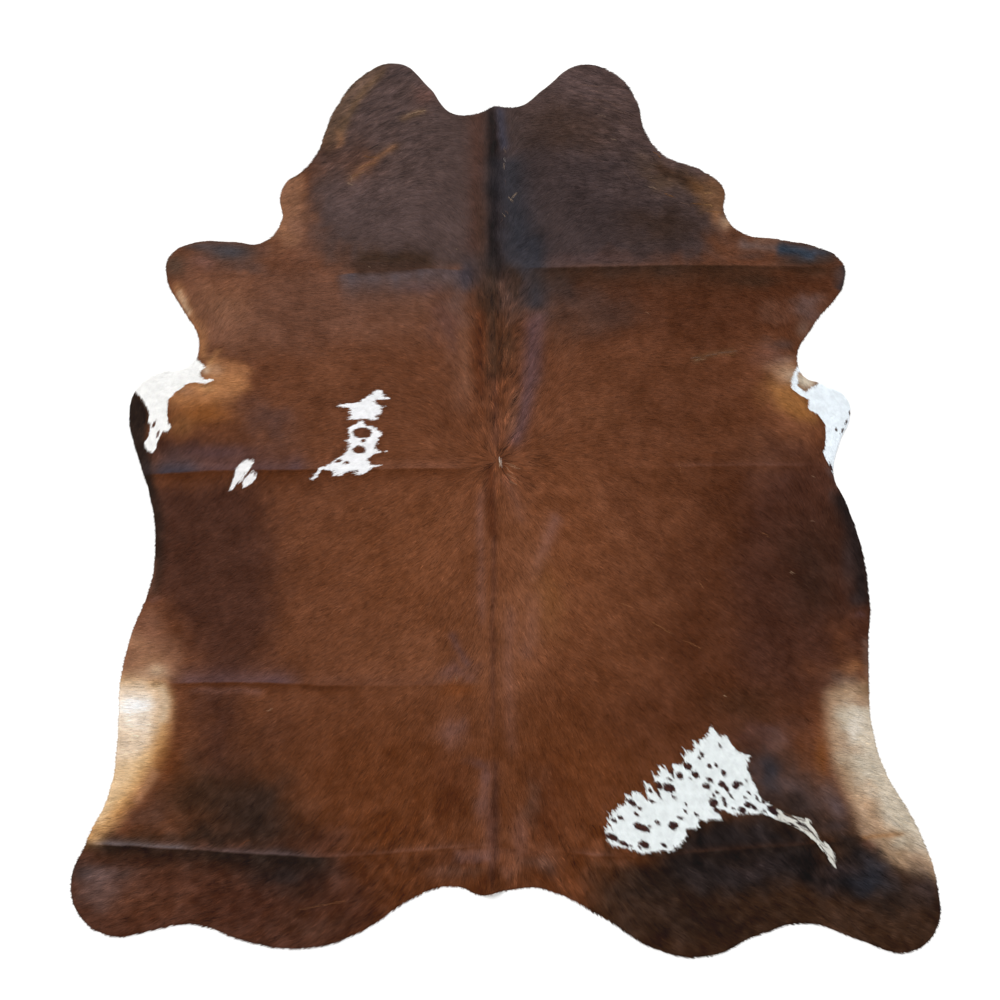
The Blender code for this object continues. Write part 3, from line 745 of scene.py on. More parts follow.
                                                  (135, 799), (117, 824), (98, 845), (60, 846), (60, 700)), 9),
    ("spot", "flank_blush",    "blush",    0.90, (148, 675, 32, 9, 0)),
    ("spot", "flank_top_light","biscuit",  0.80, (157, 670, 12, 8, 0)),
    ("spot", "flank_blush_b",  "biscuit",  0.50, (140, 686, 16, 8, 0)),
    ("line", "flank_amber",    "caramel",  0.45, ((167, 742), (158, 765), (146, 782), (130, 802), (112, 822)), 7),
    ("line", "flank_pink",     "putty",    0.60, ((158, 684), (163, 698), (162, 724)), 8),
    ("spot", "flank_rim_low",  "honey",    0.90, (94, 838, 12, 6, -20)),
    ("area", "flank_cream",    "cream",    0.95, ((122, 682), (142, 683), (153, 690), (157, 704), (157, 726), (150, 746), (138, 764), (126, 782),
                                                  (112, 802), (98, 820), (60, 832), (60, 700)), 9),
    ("area", "flank_wheat",    "wheat",    0.65, ((122, 760), (150, 750), (150, 758), (142, 772), (132, 786), (120, 802), (100, 822), (60, 826), (60, 790)), 8),
    ("spot", "flank_hot",      "milk",     1.00, (135, 706, 26, 13, 4)),
    ("spot", "flank_rose",     "biscuit",  0.80, (160, 703, 8, 20, 0)),
    ("line", "flank_amber_b",  "camel",    0.60, ((158, 768), (146, 786), (132, 804)), 8),
    ("spot", "flank_shell",    "bone",     0.45, (134, 724, 20, 9, 0)),
    ("dab",  "thigh_warm",     "cinnamon", 0.50, (172, 772, 14, 34, 20)),
    ("dab",  "thigh_cool",     "mocha",    0.45, (152, 815, 24, 14, 20)),
    ("dab",  "thigh_left",     "seal",     0.90, (252, 812, 64, 50, -30)),
    ("dab",  "thigh_left_b",   "soot",     0.80, (285, 872, 50, 26, 0)),
    ("spot", "thigh_left_f",   "seal",     0.55, (290, 893, 28, 12, 0)),
    ("dab",  "thigh_left_g",   "umber",    0.30, (310, 925, 50, 16, 0)),
    ("dab",  "thigh_left_h",   "walnut",   0.35, (300, 845, 40, 14, 0)),
    ("dab",  "thigh_left_d",   "seal",     0.75, (200, 838, 54, 14, 0)),
    ("dab",  "thigh_left_e",   "bay",      0.50, (330, 838, 30, 16, 0)),
    ("dab",  "thigh_left_c",   "umber",    0.80, (200, 795, 40, 36, 0)),
    ("dab",  "leg_left",       "umber",    0.70, (130, 840, 60, 10, 0)),
    ("dab",  "leg_left_rim",   "bay",      0.60, (82, 866, 10, 14, 0)),
    ("spot", "leg_left_cool",  "smoke",    0.60, (112, 873, 32, 9, 0)),
    ("spot", "leg_left_edge",  "smoke",    0.85, (86, 873, 18, 14, 0)),
    ("dab",  "leg_left_light", "clay",     0.30, (170, 872, 40, 9, 0)),
    ("spot", "leg_left_cream", "honey",    0.95, (93, 839, 12, 6, -20)),
    ("spot", "leg_left_dim",   "walnut",   0.55, (168, 845, 24, 7, 0)),
    ("dab",  "leg_left_grey",  "dust",     0.80, (106, 890, 30, 24, 0)),
    ("dab",  "leg_left_brown", "walnut",   0.70, (150, 905, 50, 24, 0)),
    ("dab",  "leg_left_dark",  "bay",      0.80, (250, 905, 60, 30, 0)),

    # ---- the right side and flank
    # painted sheen along the slanting fold and painted shade beside it
    ("line", "slant_pale",     "copper",   0.20, ((572, 450), (600, 500), (640, 560), (684, 630)), 12),
    ("line", "slant_dark",     "walnut",   0.40, ((600, 480), (640, 530), (680, 590)), 9),
    ("dab",  "side_mauve",     "plum",     0.15, (770, 470, 34, 26, 0)),
    ("dab",  "side_mauve_b",   "dust",     0.50, (832, 478, 8, 16, 0)),
    ("dab",  "side_rust",      "clay",     0.30, (760, 448, 30, 26, 0)),
    ("dab",  "side_deep",      "seal",     0.45, (815, 570, 40, 60, 0)),
    ("line", "side_right_rim", "soot",     0.85, ((836, 486), (850, 520), (860, 560), (864, 610)), 14),
    # painted highlight on the tab below the right tuck, and painted shadow just above it
    ("dab",  "tuck_right",     "plum",     0.70, (856, 616, 12, 6, 0)),
    ("line", "flank_r_rim",    "taupe",    0.60, ((865, 636), (867, 658), (868, 680)), 4),
    ("spot", "tuck_right_b",   "dusk",     0.60, (856, 600, 8, 9, 0)),
    ("spot", "tuck_right_c",   "dusk",     0.55, (848, 560, 9, 30, 0)),
    ("dab",  "flank_r_brown",  "russet",   0.60, (842, 636, 16, 24, 0)),
    ("dab",  "flank_r_warm",   "russet",   0.50, (812, 668, 22, 14, 0)),
    ("dab",  "flank_r_clay",   "fawn",     0.55, (852, 664, 20, 16, 0)),
    ("dab",  "flank_r_olive",  "taupe",    0.85, (842, 678, 18, 12, 0)),
    ("area", "flank_r_honey",  "hazel",    0.92, ((826, 692), (845, 682), (885, 682), (965, 800), (945, 885), (918, 876), (888, 862),
                                                  (866, 838), (850, 806), (834, 768), (826, 736)), 9),
    ("area", "flank_r_cream",  "putty",    0.95, ((838, 706), (850, 702), (885, 702), (955, 800), (948, 866), (920, 850), (898, 830),
                                                  (876, 802), (860, 776), (848, 752), (838, 730)), 12),
    ("spot", "flank_r_dip",    "olive",    0.70, (868, 689, 12, 8, 0)),
    ("spot", "flank_r_dip_b",  "drab",     0.75, (860, 702, 16, 5, 0)),
    ("spot", "flank_r_drab",   "drab",     0.35, (834, 712, 11, 30, 0)),
    ("spot", "flank_r_brown_b","tawny",    0.55, (821, 756, 8, 30, 0)),
    ("spot", "flank_r_drab_b", "drab",     0.50, (854, 750, 12, 8, 0)),
    ("spot", "flank_r_drab_c", "drab",     0.60, (866, 704, 10, 6, 0)),
    ("spot", "flank_r_glow",   "putty",    0.90, (847, 719, 9, 6, 0)),
    ("spot", "flank_r_edge",   "drab",     0.55, (866, 833, 16, 10, -45)),
    ("spot", "flank_r_edge_b", "drab",     0.85, (868, 837, 13, 9, -45)),
    ("spot", "flank_r_pale",   "putty",    0.75, (900, 842, 12, 8, 0)),
    ("spot", "flank_r_side",   "drab",     0.60, (844, 741, 8, 13, 0)),
    ("spot", "flank_r_side_b", "putty",    0.70, (839, 714, 7, 9, 0)),
    ("spot", "flank_r_leg",    "drab",     0.45, (922, 858, 16, 10, -40)),
    ("spot", "flank_r_low",    "drab",     0.50, (922, 864, 22, 8, -30)),
    ("dab",  "flank_r_hot",    "bone",     0.45, (857, 729, 10, 14, 0)),
    ("dab",  "haunch_blue",    "slate",    0.90, (770, 770, 34, 34, -30)),
    ("dab",  "haunch_dim",     "umber",    0.30, (742, 706, 44, 20, 0)),
    ("dab",  "haunch_mauve",   "plum",     0.60, (765, 733, 40, 14, 0)),
    ("dab",  "haunch_mauve_c", "dust",     0.35, (782, 736, 18, 14, 0)),
    ("dab",  "haunch_grey",    "dust",     0.60, (822, 792, 10, 18, -20)),
    ("spot", "haunch_grey_b",  "taupe",    0.45, (833, 794, 10, 28, 0)),
    ("dab",  "haunch_mauve_b", "smoke",    0.80, (806, 800, 34, 24, -50)),
    ("dab",  "haunch_rim",     "soot",     0.60, (790, 806, 40, 12, -25)),
    ("spot", "haunch_cool",    "ash",      1.00, (837, 806, 12, 20, 20)),
    ("spot", "haunch_cool_b",  "dusk",     0.80, (836, 826, 15, 8, 0)),
    ("spot", "haunch_cool_c",  "ash",      0.60, (790, 786, 20, 8, -30)),
    ("area", "thigh_right",    "soot",     0.92, ((686, 838), (700, 824), (760, 818), (800, 836), (830, 866), (850, 850), (880, 868),
                                                  (900, 900), (860, 900), (800, 880), (740, 890), (690, 895), (662, 880), (664, 856)), 16),
    ("dab",  "thigh_right_in", "seal",     0.80, (652, 886, 46, 28, 0)),
    ("dab",  "rump_r_dim",     "walnut",   0.60, (680, 716, 100, 46, 0)),
    ("dab",  "rump_r_dim_b",   "umber",    0.25, (745, 715, 40, 26, 0)),
    ("dab",  "thigh_right_mid","dusk",     0.60, (754, 866, 36, 11, 0)),
    ("dab",  "thigh_right_low","dusk",     0.50, (828, 886, 20, 10, 0)),
    ("dab",  "leg_right_blue", "slate",    0.85, (876, 882, 36, 20, -30)),
    ("dab",  "leg_right",      "umber",    0.85, (895, 925, 60, 24, 0)),
    ("dab",  "leg_right_b",    "seal",     0.60, (905, 903, 34, 18, 0)),
    ("spot", "leg_right_c",    "slate",    0.50, (874, 868, 20, 8, 0)),
    ("spot", "leg_right_d",    "dusk",     0.75, (838, 868, 28, 9, 0)),
    ("spot", "leg_right_e",    "umber",    0.40, (790, 900, 50, 14, 0)),
    ("dab",  "thigh_right_g",  "seal",     0.45, (730, 860, 40, 10, 0)),
    ("spot", "thigh_edge",     "soot",     0.80, (846, 841, 14, 8, -20)),
    ("spot", "thigh_edge_b",   "bay",      0.65, (866, 844, 13, 6, -30)),
    ("line", "thigh_edge_fold","seal",     0.70, ((826, 843), (845, 841), (862, 839)), 3),
    ("line", "thigh_edge_end", "tan",      0.50, ((860, 839), (880, 836), (905, 833)), 3),
    ("dab",  "leg_right_rim",  "dusk",     0.70, (925, 890, 14, 26, 0)),
    ("dab",  "leg_right_in",   "seal",     0.60, (700, 920, 76, 24, 0)),
    ("dab",  "leg_right_mid",  "umber",    0.85, (790, 912, 60, 20, 0)),

    # ---- the creases: painted sheen and painted shade along their slopes
    ("near", "shoulder_l_band","ashen",    1.00, "shoulder_l", 0.05, 0.98, 21),
    ("far",  "shoulder_r_blue","smoke",    0.60, "shoulder_r", 0.10, 0.40, 11),
    ("far",  "shoulder_r_line","clay",     0.40, "shoulder_r", 0.15, 0.90, 3),
    ("near", "shoulder_r_dark","umber",    0.60, "shoulder_r", 0.05, 0.80, 19),
    ("near", "shoulder_r_edge","umber",    0.30, "shoulder_r", 0.15, 0.95, 4),
    ("far",  "girth_l_plum",   "plum",     0.85, "girth_l",    0.02, 0.50, 16),
    ("far",  "girth_l_cool",   "iron",     0.90, "girth_l",    0.00, 0.16, 15),
    ("far",  "girth_l_faint",  "rose",     0.22, "girth_l",    0.50, 0.98, 9),
    ("near", "girth_l_warm",   "cocoa",    0.70, "girth_l",    0.02, 0.98, 14),
    ("near", "girth_l_edge",   "cocoa",    0.50, "girth_l",    0.02, 0.60, 5),
    ("dab",  "girth_l_rust",   "russet",   0.70, (170, 481, 14, 5, 0)),
    ("far",  "girth_r_pale",   "rose",     0.25, "girth_r",    0.50, 0.98, 4),
    ("near", "girth_r_dim",    "walnut",   0.30, "girth_r",    0.50, 0.98, 7),
    ("far",  "loin_l_plum",    "plum",     0.85, "loin_l",     0.02, 0.42, 14),
    ("far",  "loin_l_faint",   "plum",     0.12, "loin_l",     0.42, 1.00, 12),
    ("near", "loin_l_warm",    "cocoa",    0.85, "loin_l",     0.02, 0.60, 6),
    # painted highlight just below the loin crease and a dab of painted sheen just above it
    ("line", "loin_l_rose",    "rose",     0.55, ((188, 692), (205, 690), (222, 692), (242, 690), (266, 693)), 4),
    ("dab",  "loin_l_ochre",   "cinnamon", 0.60, (460, 693, 24, 10, 0)),
    ("dab",  "loin_l_mauve",   "plum",     0.55, (458, 672, 22, 9, 0)),
    ("near", "rump_l_dark",    "seal",     0.88, "rump_l",     0.00, 0.62, 15),
    ("far",  "rump_l_line",    "lilac",    0.95, "rump_l",     0.01, 0.27, 5),
    ("far",  "rump_l_line_b",  "ash",      0.85, "rump_l",     0.27, 0.57, 4),
    ("far",  "rump_l_line_c",  "rose",     0.35, "rump_l",     0.57, 1.00, 4),
    ("near", "rump_r_block",   "rose",     0.30, "rump_r",     0.00, 0.12, 10),
    ("far",  "rump_r_line",    "rose",     0.60, "rump_r",     0.18, 0.26, 4),
    ("near", "rump_r_warm",    "cocoa",    0.45, "rump_r",     0.05, 0.40, 10),
    ("near", "rump_r_dark",    "seal",     0.75, "rump_r",     0.42, 0.86, 7),
    ("far",  "rump_r_gold",    "walnut",   0.35, "rump_r",     0.42, 0.80, 4),
    ("area", "sheen_f_block",  "rose",     0.60, ((456, 850), (491, 848), (491, 861), (458, 862)), 3),
    # more of the painted shade just above the left shoulder crease
    ("area", "smudge_over",    "cork",     0.80, ((350, 264), (392, 262), (425, 263), (425, 268), (405, 272), (385, 275), (358, 276)), 4),
    ("spot", "withers_cool",   "iron",     0.70, (467, 276, 9, 18, 0)),
)


def srgb_to_linear(c):
    c = np.clip(c, 0.0, 1.0)
    return np.where(c <= 0.04045, c / 12.92, ((c + 0.055) / 1.055) ** 2.4)


def albedo_of(tone):
    """The surface's own colour for a tone as seen in the studio."""
    own = srgb_to_linear(tone) / LIT
    return np.maximum(own - GLOSS, 0.3 * own)


def white_albedo(tone):
    """The same for the white markings, whose close-set hair shades itself more."""
    return np.minimum(srgb_to_linear(tone) * 1.12, 0.97)


CREASE_SEEN = {row[0]: rounded(row[4], steps=6) for row in CREASES}


def coat_tone(points):
    """The coat's colour, painted, at points of the floor; screen values 0 to 1."""
    seen_at = seen(points)
    x, y = points[:, 0], points[:, 1]
    stray = np.stack([value_noise(x / 0.045, y / 0.045, 11), value_noise(x / 0.045, y / 0.045, 12)], 1) - 0.5
    fine = np.stack([value_noise(x / 0.016, y / 0.016, 13), value_noise(x / 0.016, y / 0.016, 14)], 1) - 0.5
    thin_at = seen_at + 2.0 * stray + 1.5 * fine
    sharp_at = seen_at + 0.8 * fine
    at = seen_at + 16.0 * stray + 7.0 * fine
    tone = np.tile(np.array(COLOURS["russet"], float) / 255.0, (len(points), 1))
    for row in PAINT:
        kind, _, colour, strength = row[:4]
        if kind in ("dab", "spot"):
            u, v, wide, high, turn = row[4]
            reach = 2.1 * max(wide, high)
            where = at if kind == "dab" else thin_at
            pick = np.nonzero((np.abs(where[:, 0] - u) < reach) & (np.abs(where[:, 1] - v) < reach))[0]
            a = math.radians(turn)
            du, dv = where[pick, 0] - u, where[pick, 1] - v
            p = (du * math.cos(a) - dv * math.sin(a)) / wide
            q = (du * math.sin(a) + dv * math.cos(a)) / high
            share = np.exp(-1.6 * (p * p + q * q) ** 1.15)
        elif kind == "area":
            ring, spread = np.array(row[4], float), row[5]
            where = at if spread > 9 else thin_at if spread > 3 else sharp_at
            low, high = ring.min(0) - spread, ring.max(0) + spread
            pick = np.nonzero(((where > low) & (where < high)).all(1))[0]
            share = smooth(signed(where[pick], ring, spread * 1.5), -spread, spread)
        elif kind == "line":
            line, wide = row[4], row[5]
            line = rounded(line, steps=5)
            low, high = line.min(0) - 2.4 * wide, line.max(0) + 2.4 * wide
            pick = np.nonzero(((thin_at > low) & (thin_at < high)).all(1))[0]
            gap, _, along = line_gap(thin_at[pick], line)
            share = np.exp(-1.6 * (gap / wide) ** 2) * smooth(along, -0.02, 0.12) * smooth(1 - along, -0.02, 0.12)
        else:
            # the bands of painted sheen and painted shade along a crease
            name, start, stop, reach = row[4:8]
            line = CREASE_SEEN[name]
            low, high = line.min(0) - 2.5 * reach, line.max(0) + 2.5 * reach
            pick = np.nonzero(((sharp_at > low) & (sharp_at < high)).all(1))[0]
            gap, side, along = line_gap(sharp_at[pick], line)
            into = gap * side * (-1 if kind == "far" else 1)
            uneven = 0.75 + 0.5 * value_noise(along * 23.0, 0 * along, len(colour) + len(name))
            share = smooth(into, -0.8, 0.8) * np.exp(-(gap / reach) ** 2) * uneven \
                * smooth(along, start - 0.03, start + 0.05) * smooth(-along, -stop - 0.03, -stop + 0.05)
        share = (strength * share)[:, None]
        tone[pick] = tone[pick] * (1 - share) + share * np.array(COLOURS[colour], float) / 255.0
    # soft mottling, a little cooler where it is paler, most on the haunches
    patchy = value_noise(x / 0.060, y / 0.060, 17) + value_noise(x / 0.030, y / 0.030, 19) - 1.0
    mottle = value_noise(x / 0.014, y / 0.014, 21) + value_noise(x / 0.009, y / 0.011, 23) - 1.0
    more = 1.0 + 1.1 * smooth(seen_at[:, 1], 760.0, 860.0)
    lift_by = more * (0.019 * patchy + 0.017 * mottle)
    tone = tone * (1 + 0.05 * patchy + 0.05 * mottle)[:, None] + lift_by[:, None] * np.array((1.0, 0.9, 0.95))
    return np.clip(tone, 0.0, 1.0)


# ------------------------------------------------------------ white markings
# The white markings: how ragged their hair makes them (1 is most), how white
# they are, and their outlines, in the order drawn.
WHITE = {
    "flap_left": (0.40, (0.950, 0.946, 0.936), (
        (134, 389), (128, 380), (146, 366), (166, 360), (184, 356), (198, 350), (199, 360), (204, 363), (206, 368),
        (201, 371), (202, 376), (207, 379), (211, 377), (216, 381), (206, 384), (195, 383), (189, 384),
        (183, 388), (176, 393), (169, 400), (168, 408), (168, 416), (170, 423), (172, 427), (169, 431), (164, 432),
        (161, 436), (158, 443), (157, 449), (153, 456), (147, 450), (143, 443), (147, 437), (150, 426),
        (148, 421), (149, 415), (147, 409), (143, 401), (138, 396))),
    "back_top": (0.65, (0.929, 0.929, 0.937), (
        (379, 388), (386, 393), (388, 399), (383, 401), (377, 401), (380, 403), (389, 406), (383, 409), (384, 412),
        (380, 416), (376, 421), (364, 420), (348, 420), (351, 416), (350, 409), (337, 406), (342, 403), (350, 402),
        (361, 401), (357, 400), (364, 396), (372, 393))),
    "back_ring": (0.65, (0.929, 0.929, 0.937), (
        (361, 419), (366, 419), (368, 425), (376, 426), (379, 430), (385, 435), (380, 438), (377, 443), (378, 449), (386, 452),
        (375, 454), (373, 456), (370, 460), (372, 464), (383, 465), (373, 468), (369, 472), (365, 475),
        (355, 475), (347, 474), (341, 476), (329, 479), (333, 472), (323, 471), (319, 477), (313, 481), (303, 481),
        (313, 475), (319, 469), (327, 464), (336, 458), (342, 455), (347, 451), (339, 449), (347, 448), (350, 444),
        (343, 440), (349, 437), (348, 431), (346, 426), (356, 424))),
    "side_fleck": (0.80, (0.930, 0.925, 0.925), (
        (257, 456), (247, 458), (240, 462), (235, 470), (232, 478), (229, 486), (226, 494), (233, 490), (239, 484),
        (244, 479.5), (248, 474), (251.5, 468.5), (254, 463))),
    "side_fleck_b": (0.80, (0.930, 0.925, 0.925), (
        (259, 471), (251, 470.5), (246, 475.5), (242, 481), (241, 486), (239, 491), (248, 488), (254, 482), (258, 477))),
    "flap_right": (0.25, (0.886, 0.916, 0.940), (
        (798, 365), (792, 373), (790, 388), (796, 393), (808, 400), (807, 409), (817, 414), (825, 425),
        (825, 437), (824, 449), (821, 450), (826, 461), (832, 474), (840, 470), (848, 440), (858, 425),
        (860, 400), (845, 384), (827, 379), (818, 383), (812, 386), (805, 390), (798, 386), (798, 374), (801, 369))),
    "haunch": (0.55, (0.864, 0.886, 0.888), (
        (710, 722), (717, 730), (720, 734), (726, 735), (729, 739), (731, 743), (735, 747), (739, 750),
        (745, 753), (752, 755), (749, 759), (748, 769), (750, 775), (753, 780), (757, 785), (758, 790), (761, 795),
        (764, 800), (770, 801), (774, 807), (779, 809), (777, 819), (771, 818), (765, 817), (760, 814), (744, 815), (739, 814), (729, 815),
        (724, 811), (719, 811), (723, 819), (704, 821), (699, 820), (700, 828), (687, 829), (687, 836),
        (680, 844), (676, 848), (670, 852), (660, 851), (653, 852), (641, 854), (636, 851), (629, 850), (620, 847), (612, 846),
        (606, 842), (604, 834), (605, 828), (610, 825), (607, 819), (608, 815), (603, 809), (609, 811), (613, 809), (619, 805),
        (625, 800), (625, 792), (632, 794), (630, 788), (637, 791), (641, 792), (646, 797), (643, 786), (640, 777), (647, 782),
        (652, 784), (656, 790), (650, 771), (656, 774), (660, 771), (655, 763), (664, 768), (662, 763), (667, 767), (670, 772),
        (672, 762), (677, 763), (683, 761), (679, 752), (685, 755), (681, 746), (688, 751), (694, 748), (691, 737),
        (699, 742), (697, 739), (701, 738), (706, 736), (708, 729))),
    "haunch_end": (0.45, (0.800, 0.795, 0.765), (
        (775, 807), (780, 808), (784, 811), (790, 815), (796, 815), (803, 817), (811, 819),
        (810, 822), (814, 828), (817, 834), (820, 840), (825, 841), (829, 844), (833, 850), (834, 857),
        (838, 870), (831, 866), (827, 860), (825, 854), (820, 849), (816, 843), (809, 838), (802, 832),
        (797, 829), (790, 825), (781, 822), (774, 819))),
}
# Dark spots on them: u, v, half length, half width, turn.
SPOTS = (
    # in rows down the haunch
    (719.5, 745.5, 1.8, 1.0, -55), (701.5, 754.5, 2.6, 1.5, -60), (699.5, 758, 1.5, 0.9, -40), (709, 766, 2.6, 1.8, -50),
    (715.5, 764.5, 2.6, 1.2, -50), (687.5, 766, 4.6, 3.2, -40), (723, 772.5, 2.8, 2.1, -45), (695, 774.5, 4.2, 2.6, -35),
    (679.5, 775, 3.6, 2.8, -45), (670.5, 769, 6.5, 1.7, -68), (669, 778.5, 2.2, 0.9, -35), (690, 778, 1.8, 0.8, -40),
    (746, 780, 1.4, 1.0, -60), (709.5, 779.5, 3.0, 1.6, -35), (706, 785.5, 3.9, 2.7, -25), (721.5, 783.5, 3.2, 3.1, 0),
    (726, 788, 3.6, 1.5, -52), (730.5, 795, 2.4, 0.8, -50), (735.5, 784.5, 3.9, 3.7, 0), (741, 783.5, 1.8, 0.9, -30),
    (658, 785, 4.5, 3.0, -35), (668.5, 787.5, 6.6, 3.8, -20), (656.5, 790, 8.5, 1.2, -62), (649.5, 790, 3.0, 1.7, -35),
    (644, 794, 4.5, 1.4, -55), (717, 792, 1.6, 1.0, -50), (713.5, 794.5, 1.6, 1.0, -50), (748.5, 792, 1.9, 1.0, -50),
    (744.5, 797, 1.7, 0.9, -45), (757, 798.5, 2.6, 1.1, -60), (674, 797, 1.8, 1.0, -30), (723, 799, 2.1, 1.8, -60),
    (725, 803.5, 2.8, 1.6, -60), (632, 802.5, 5.2, 2.2, -38), (639.5, 808, 2.6, 1.4, -45), (651.5, 801, 3.0, 1.2, -15),
    (713, 802.5, 4.6, 4.0, -20), (747.5, 804.5, 3.6, 2.5, -20), (753.5, 807, 3.4, 1.9, -35), (763, 801.5, 2.0, 1.1, -60),
    (686, 804, 1.7, 1.0, -60), (685.5, 811, 1.9, 0.9, -40), (696, 814, 2.4, 1.0, -25), (716.5, 810, 3.3, 1.9, -25),
    (732.5, 808, 1.6, 0.9, -30), (742, 809.5, 4.1, 3.1, -35), (764.5, 810.5, 2.0, 1.0, -55), (772, 810, 6.8, 2.9, -42),
    (636, 813.5, 3.0, 1.5, -40), (620.5, 817.5, 3.0, 1.4, -35), (614, 820, 2.8, 1.3, -25), (657, 822, 2.7, 1.5, -35),
    (680, 817.5, 2.2, 1.2, -5), (649.5, 826, 1.4, 0.9, -30), (641, 827, 8.4, 3.1, -22), (673, 825, 5.0, 3.9, -10),
    (611.5, 836.5, 6.6, 3.0, -20), (623, 843, 7.0, 1.7, -22), (644, 844, 5.1, 2.9, -25), (639.5, 847, 2.5, 1.0, -60),
    (664, 845, 3.1, 1.4, -30), (800, 823.5, 4.0, 1.1, -15), (787, 815, 4.0, 0.5, -25), (797, 820, 5.0, 0.6, -35),
    (792, 824, 4.0, 0.4, -30), (806, 827, 4.0, 0.4, -40), (815, 836, 3.0, 0.3, -50),
    (824, 850, 3.0, 0.3, -50),
    # between the strands of the fleck
    (237, 484, 4.0, 0.3, 55), (247.3, 475, 5.0, 0.4, 50),
    # on the back
    (362.5, 432.5, 9.3, 5.2, 0), (360, 449.5, 5.8, 4.0, 0), (364, 440.5, 2.0, 1.1, 0), (339, 461, 3.0, 1.2, 15),
    (347.5, 462.5, 2.2, 1.0, 0), (351, 472.5, 5.5, 1.1, 10), (351, 422, 5.0, 2.3, 0), (371, 423, 6.0, 2.6, 0),
    # on the flaps
    (836, 429, 1.6, 1.0, -60), (842.5, 430.5, 1.8, 0.6, 55), (846.5, 421.5, 2.2, 0.7, 70), (850, 411.5, 1.6, 0.5, 80),
    (831, 467, 4.6, 1.1, -65), (154, 424, 3.4, 0.9, 62), (158, 433, 2.4, 0.8, 75),
)


def white_depth(at):
    """How far inside the white markings a place in the view is, in thousandths,
    over how ragged the marking is, and how white the marking is."""
    depth, white = np.full(len(at), -14.0), np.ones((len(at), 3))
    for ragged, tint, ring in WHITE.values():
        ring = np.array(ring, float)
        low, high = ring.min(0) - 14, ring.max(0) + 14
        pick = np.nonzero(((at > low) & (at < high)).all(1))[0]
        inward = (signed(at[pick], ring, 14.0) - 0.5 - 1.1 * ragged) / ragged
        deeper = inward > depth[pick]
        depth[pick[deeper]] = inward[deeper]
        white[pick[deeper]] = tint
    return depth, white


def near_white(at, reach):
    """Whether a place is inside or within reach of a marking."""
    near = np.zeros(len(at), bool)
    for _, _, ring in WHITE.values():
        ring = np.array(ring, float)
        low, high = ring.min(0) - reach, ring.max(0) + reach
        pick = np.nonzero(((at > low) & (at < high)).all(1))[0]
        near[pick] |= signed(at[pick], ring, reach * 1.2) > -reach
    return near


def spot_depth(at):
    depth = np.full(len(at), -10.0)
    for u, v, long, wide, turn in SPOTS:
        pick = np.nonzero((np.abs(at[:, 0] - u) < 20) & (np.abs(at[:, 1] - v) < 20))[0]
        a = math.radians(turn)
        du, dv = at[pick, 0] - u, at[pick, 1] - v
        p = (du * math.cos(a) - dv * math.sin(a)) / long
        q = (du * math.sin(a) + dv * math.cos(a)) / wide
        d = (1 - np.hypot(p, q)) * wide + 0.3
        depth[pick] = np.maximum(depth[pick], d)
    return depth


# ------------------------------------------------------------ build the coat
def mesh_from(name, verts, faces, slots=None, smooth_shaded=True):
    """A mesh of triangles from arrays."""
    mesh = bpy.data.meshes.new(name)
    mesh.vertices.add(len(verts))
    mesh.vertices.foreach_set("co", np.asarray(verts, np.float32).ravel())
    mesh.loops.add(3 * len(faces))
    mesh.loops.foreach_set("vertex_index", np.asarray(faces, np.int32).ravel())
    mesh.polygons.add(len(faces))
    mesh.polygons.foreach_set("loop_start", np.arange(0, 3 * len(faces), 3, dtype=np.int32))
    mesh.polygons.foreach_set("loop_total", np.full(len(faces), 3, np.int32))
    if slots is not None:
        mesh.polygons.foreach_set("material_index", np.asarray(slots, np.int32))
    mesh.polygons.foreach_set("use_smooth", np.full(len(faces), smooth_shaded, bool))
    mesh.update(calc_edges=True)
    mesh.validate()
    return mesh


def add_colour(mesh, name, rgb):
    values = np.ones((len(rgb), 4), np.float32)
    values[:, :3] = rgb
    mesh.attributes.new(name, "FLOAT_COLOR", "POINT").data.foreach_set("color", values.ravel())


def add_float(mesh, name, values):
    mesh.attributes.new(name, "FLOAT", "POINT").data.foreach_set("value", np.asarray(values, np.float32))


def add_map(mesh, name, uv):
    layer = mesh.uv_layers.new(name=name)
    index = np.zeros(len(mesh.loops), np.int32)
    mesh.loops.foreach_get("vertex_index", index)
    layer.data.foreach_set("uv", np.asarray(uv, np.float32)[index].ravel())


def hex_field(low, high, step, rng, shake=0.12):
    rise = step * math.sqrt(3) / 2
    rows = []
    for j, y in enumerate(np.arange(low[1], high[1], rise)):
        x = np.arange(low[0], high[0], step) + (step / 2 if j % 2 else 0.0)
        rows.append(np.stack([x, np.full(len(x), y)], 1))
    field = np.vstack(rows)
    return field + (rng.random(field.shape) - 0.5) * 2 * shake * step


class Near:
    """Which places of a fine grid are already taken."""

    def __init__(self, low, high, cell):
        self.low, self.cell = np.asarray(low) - 4 * cell, cell
        size = ((np.asarray(high) - self.low) / cell).astype(int) + 8
        self.taken = np.zeros(size, bool)

    def index(self, points):
        return np.clip(((points - self.low) / self.cell).astype(int), 0, np.array(self.taken.shape) - 1)

    def take(self, points, reach):
        n = int(math.ceil(reach / self.cell))
        k = self.index(points)
        for i in range(-n, n + 1):
            for j in range(-n, n + 1):
                if math.hypot(i, j) * self.cell <= reach:
                    p = np.clip(k + (i, j), 0, np.array(self.taken.shape) - 1)
                    self.taken[p[:, 0], p[:, 1]] = True

    def free(self, points):
        k = self.index(points)
        return ~self.taken[k[:, 0], k[:, 1]]


LOW, HIGH = RING.min(0), RING.max(0)
RNG = np.random.default_rng(7)


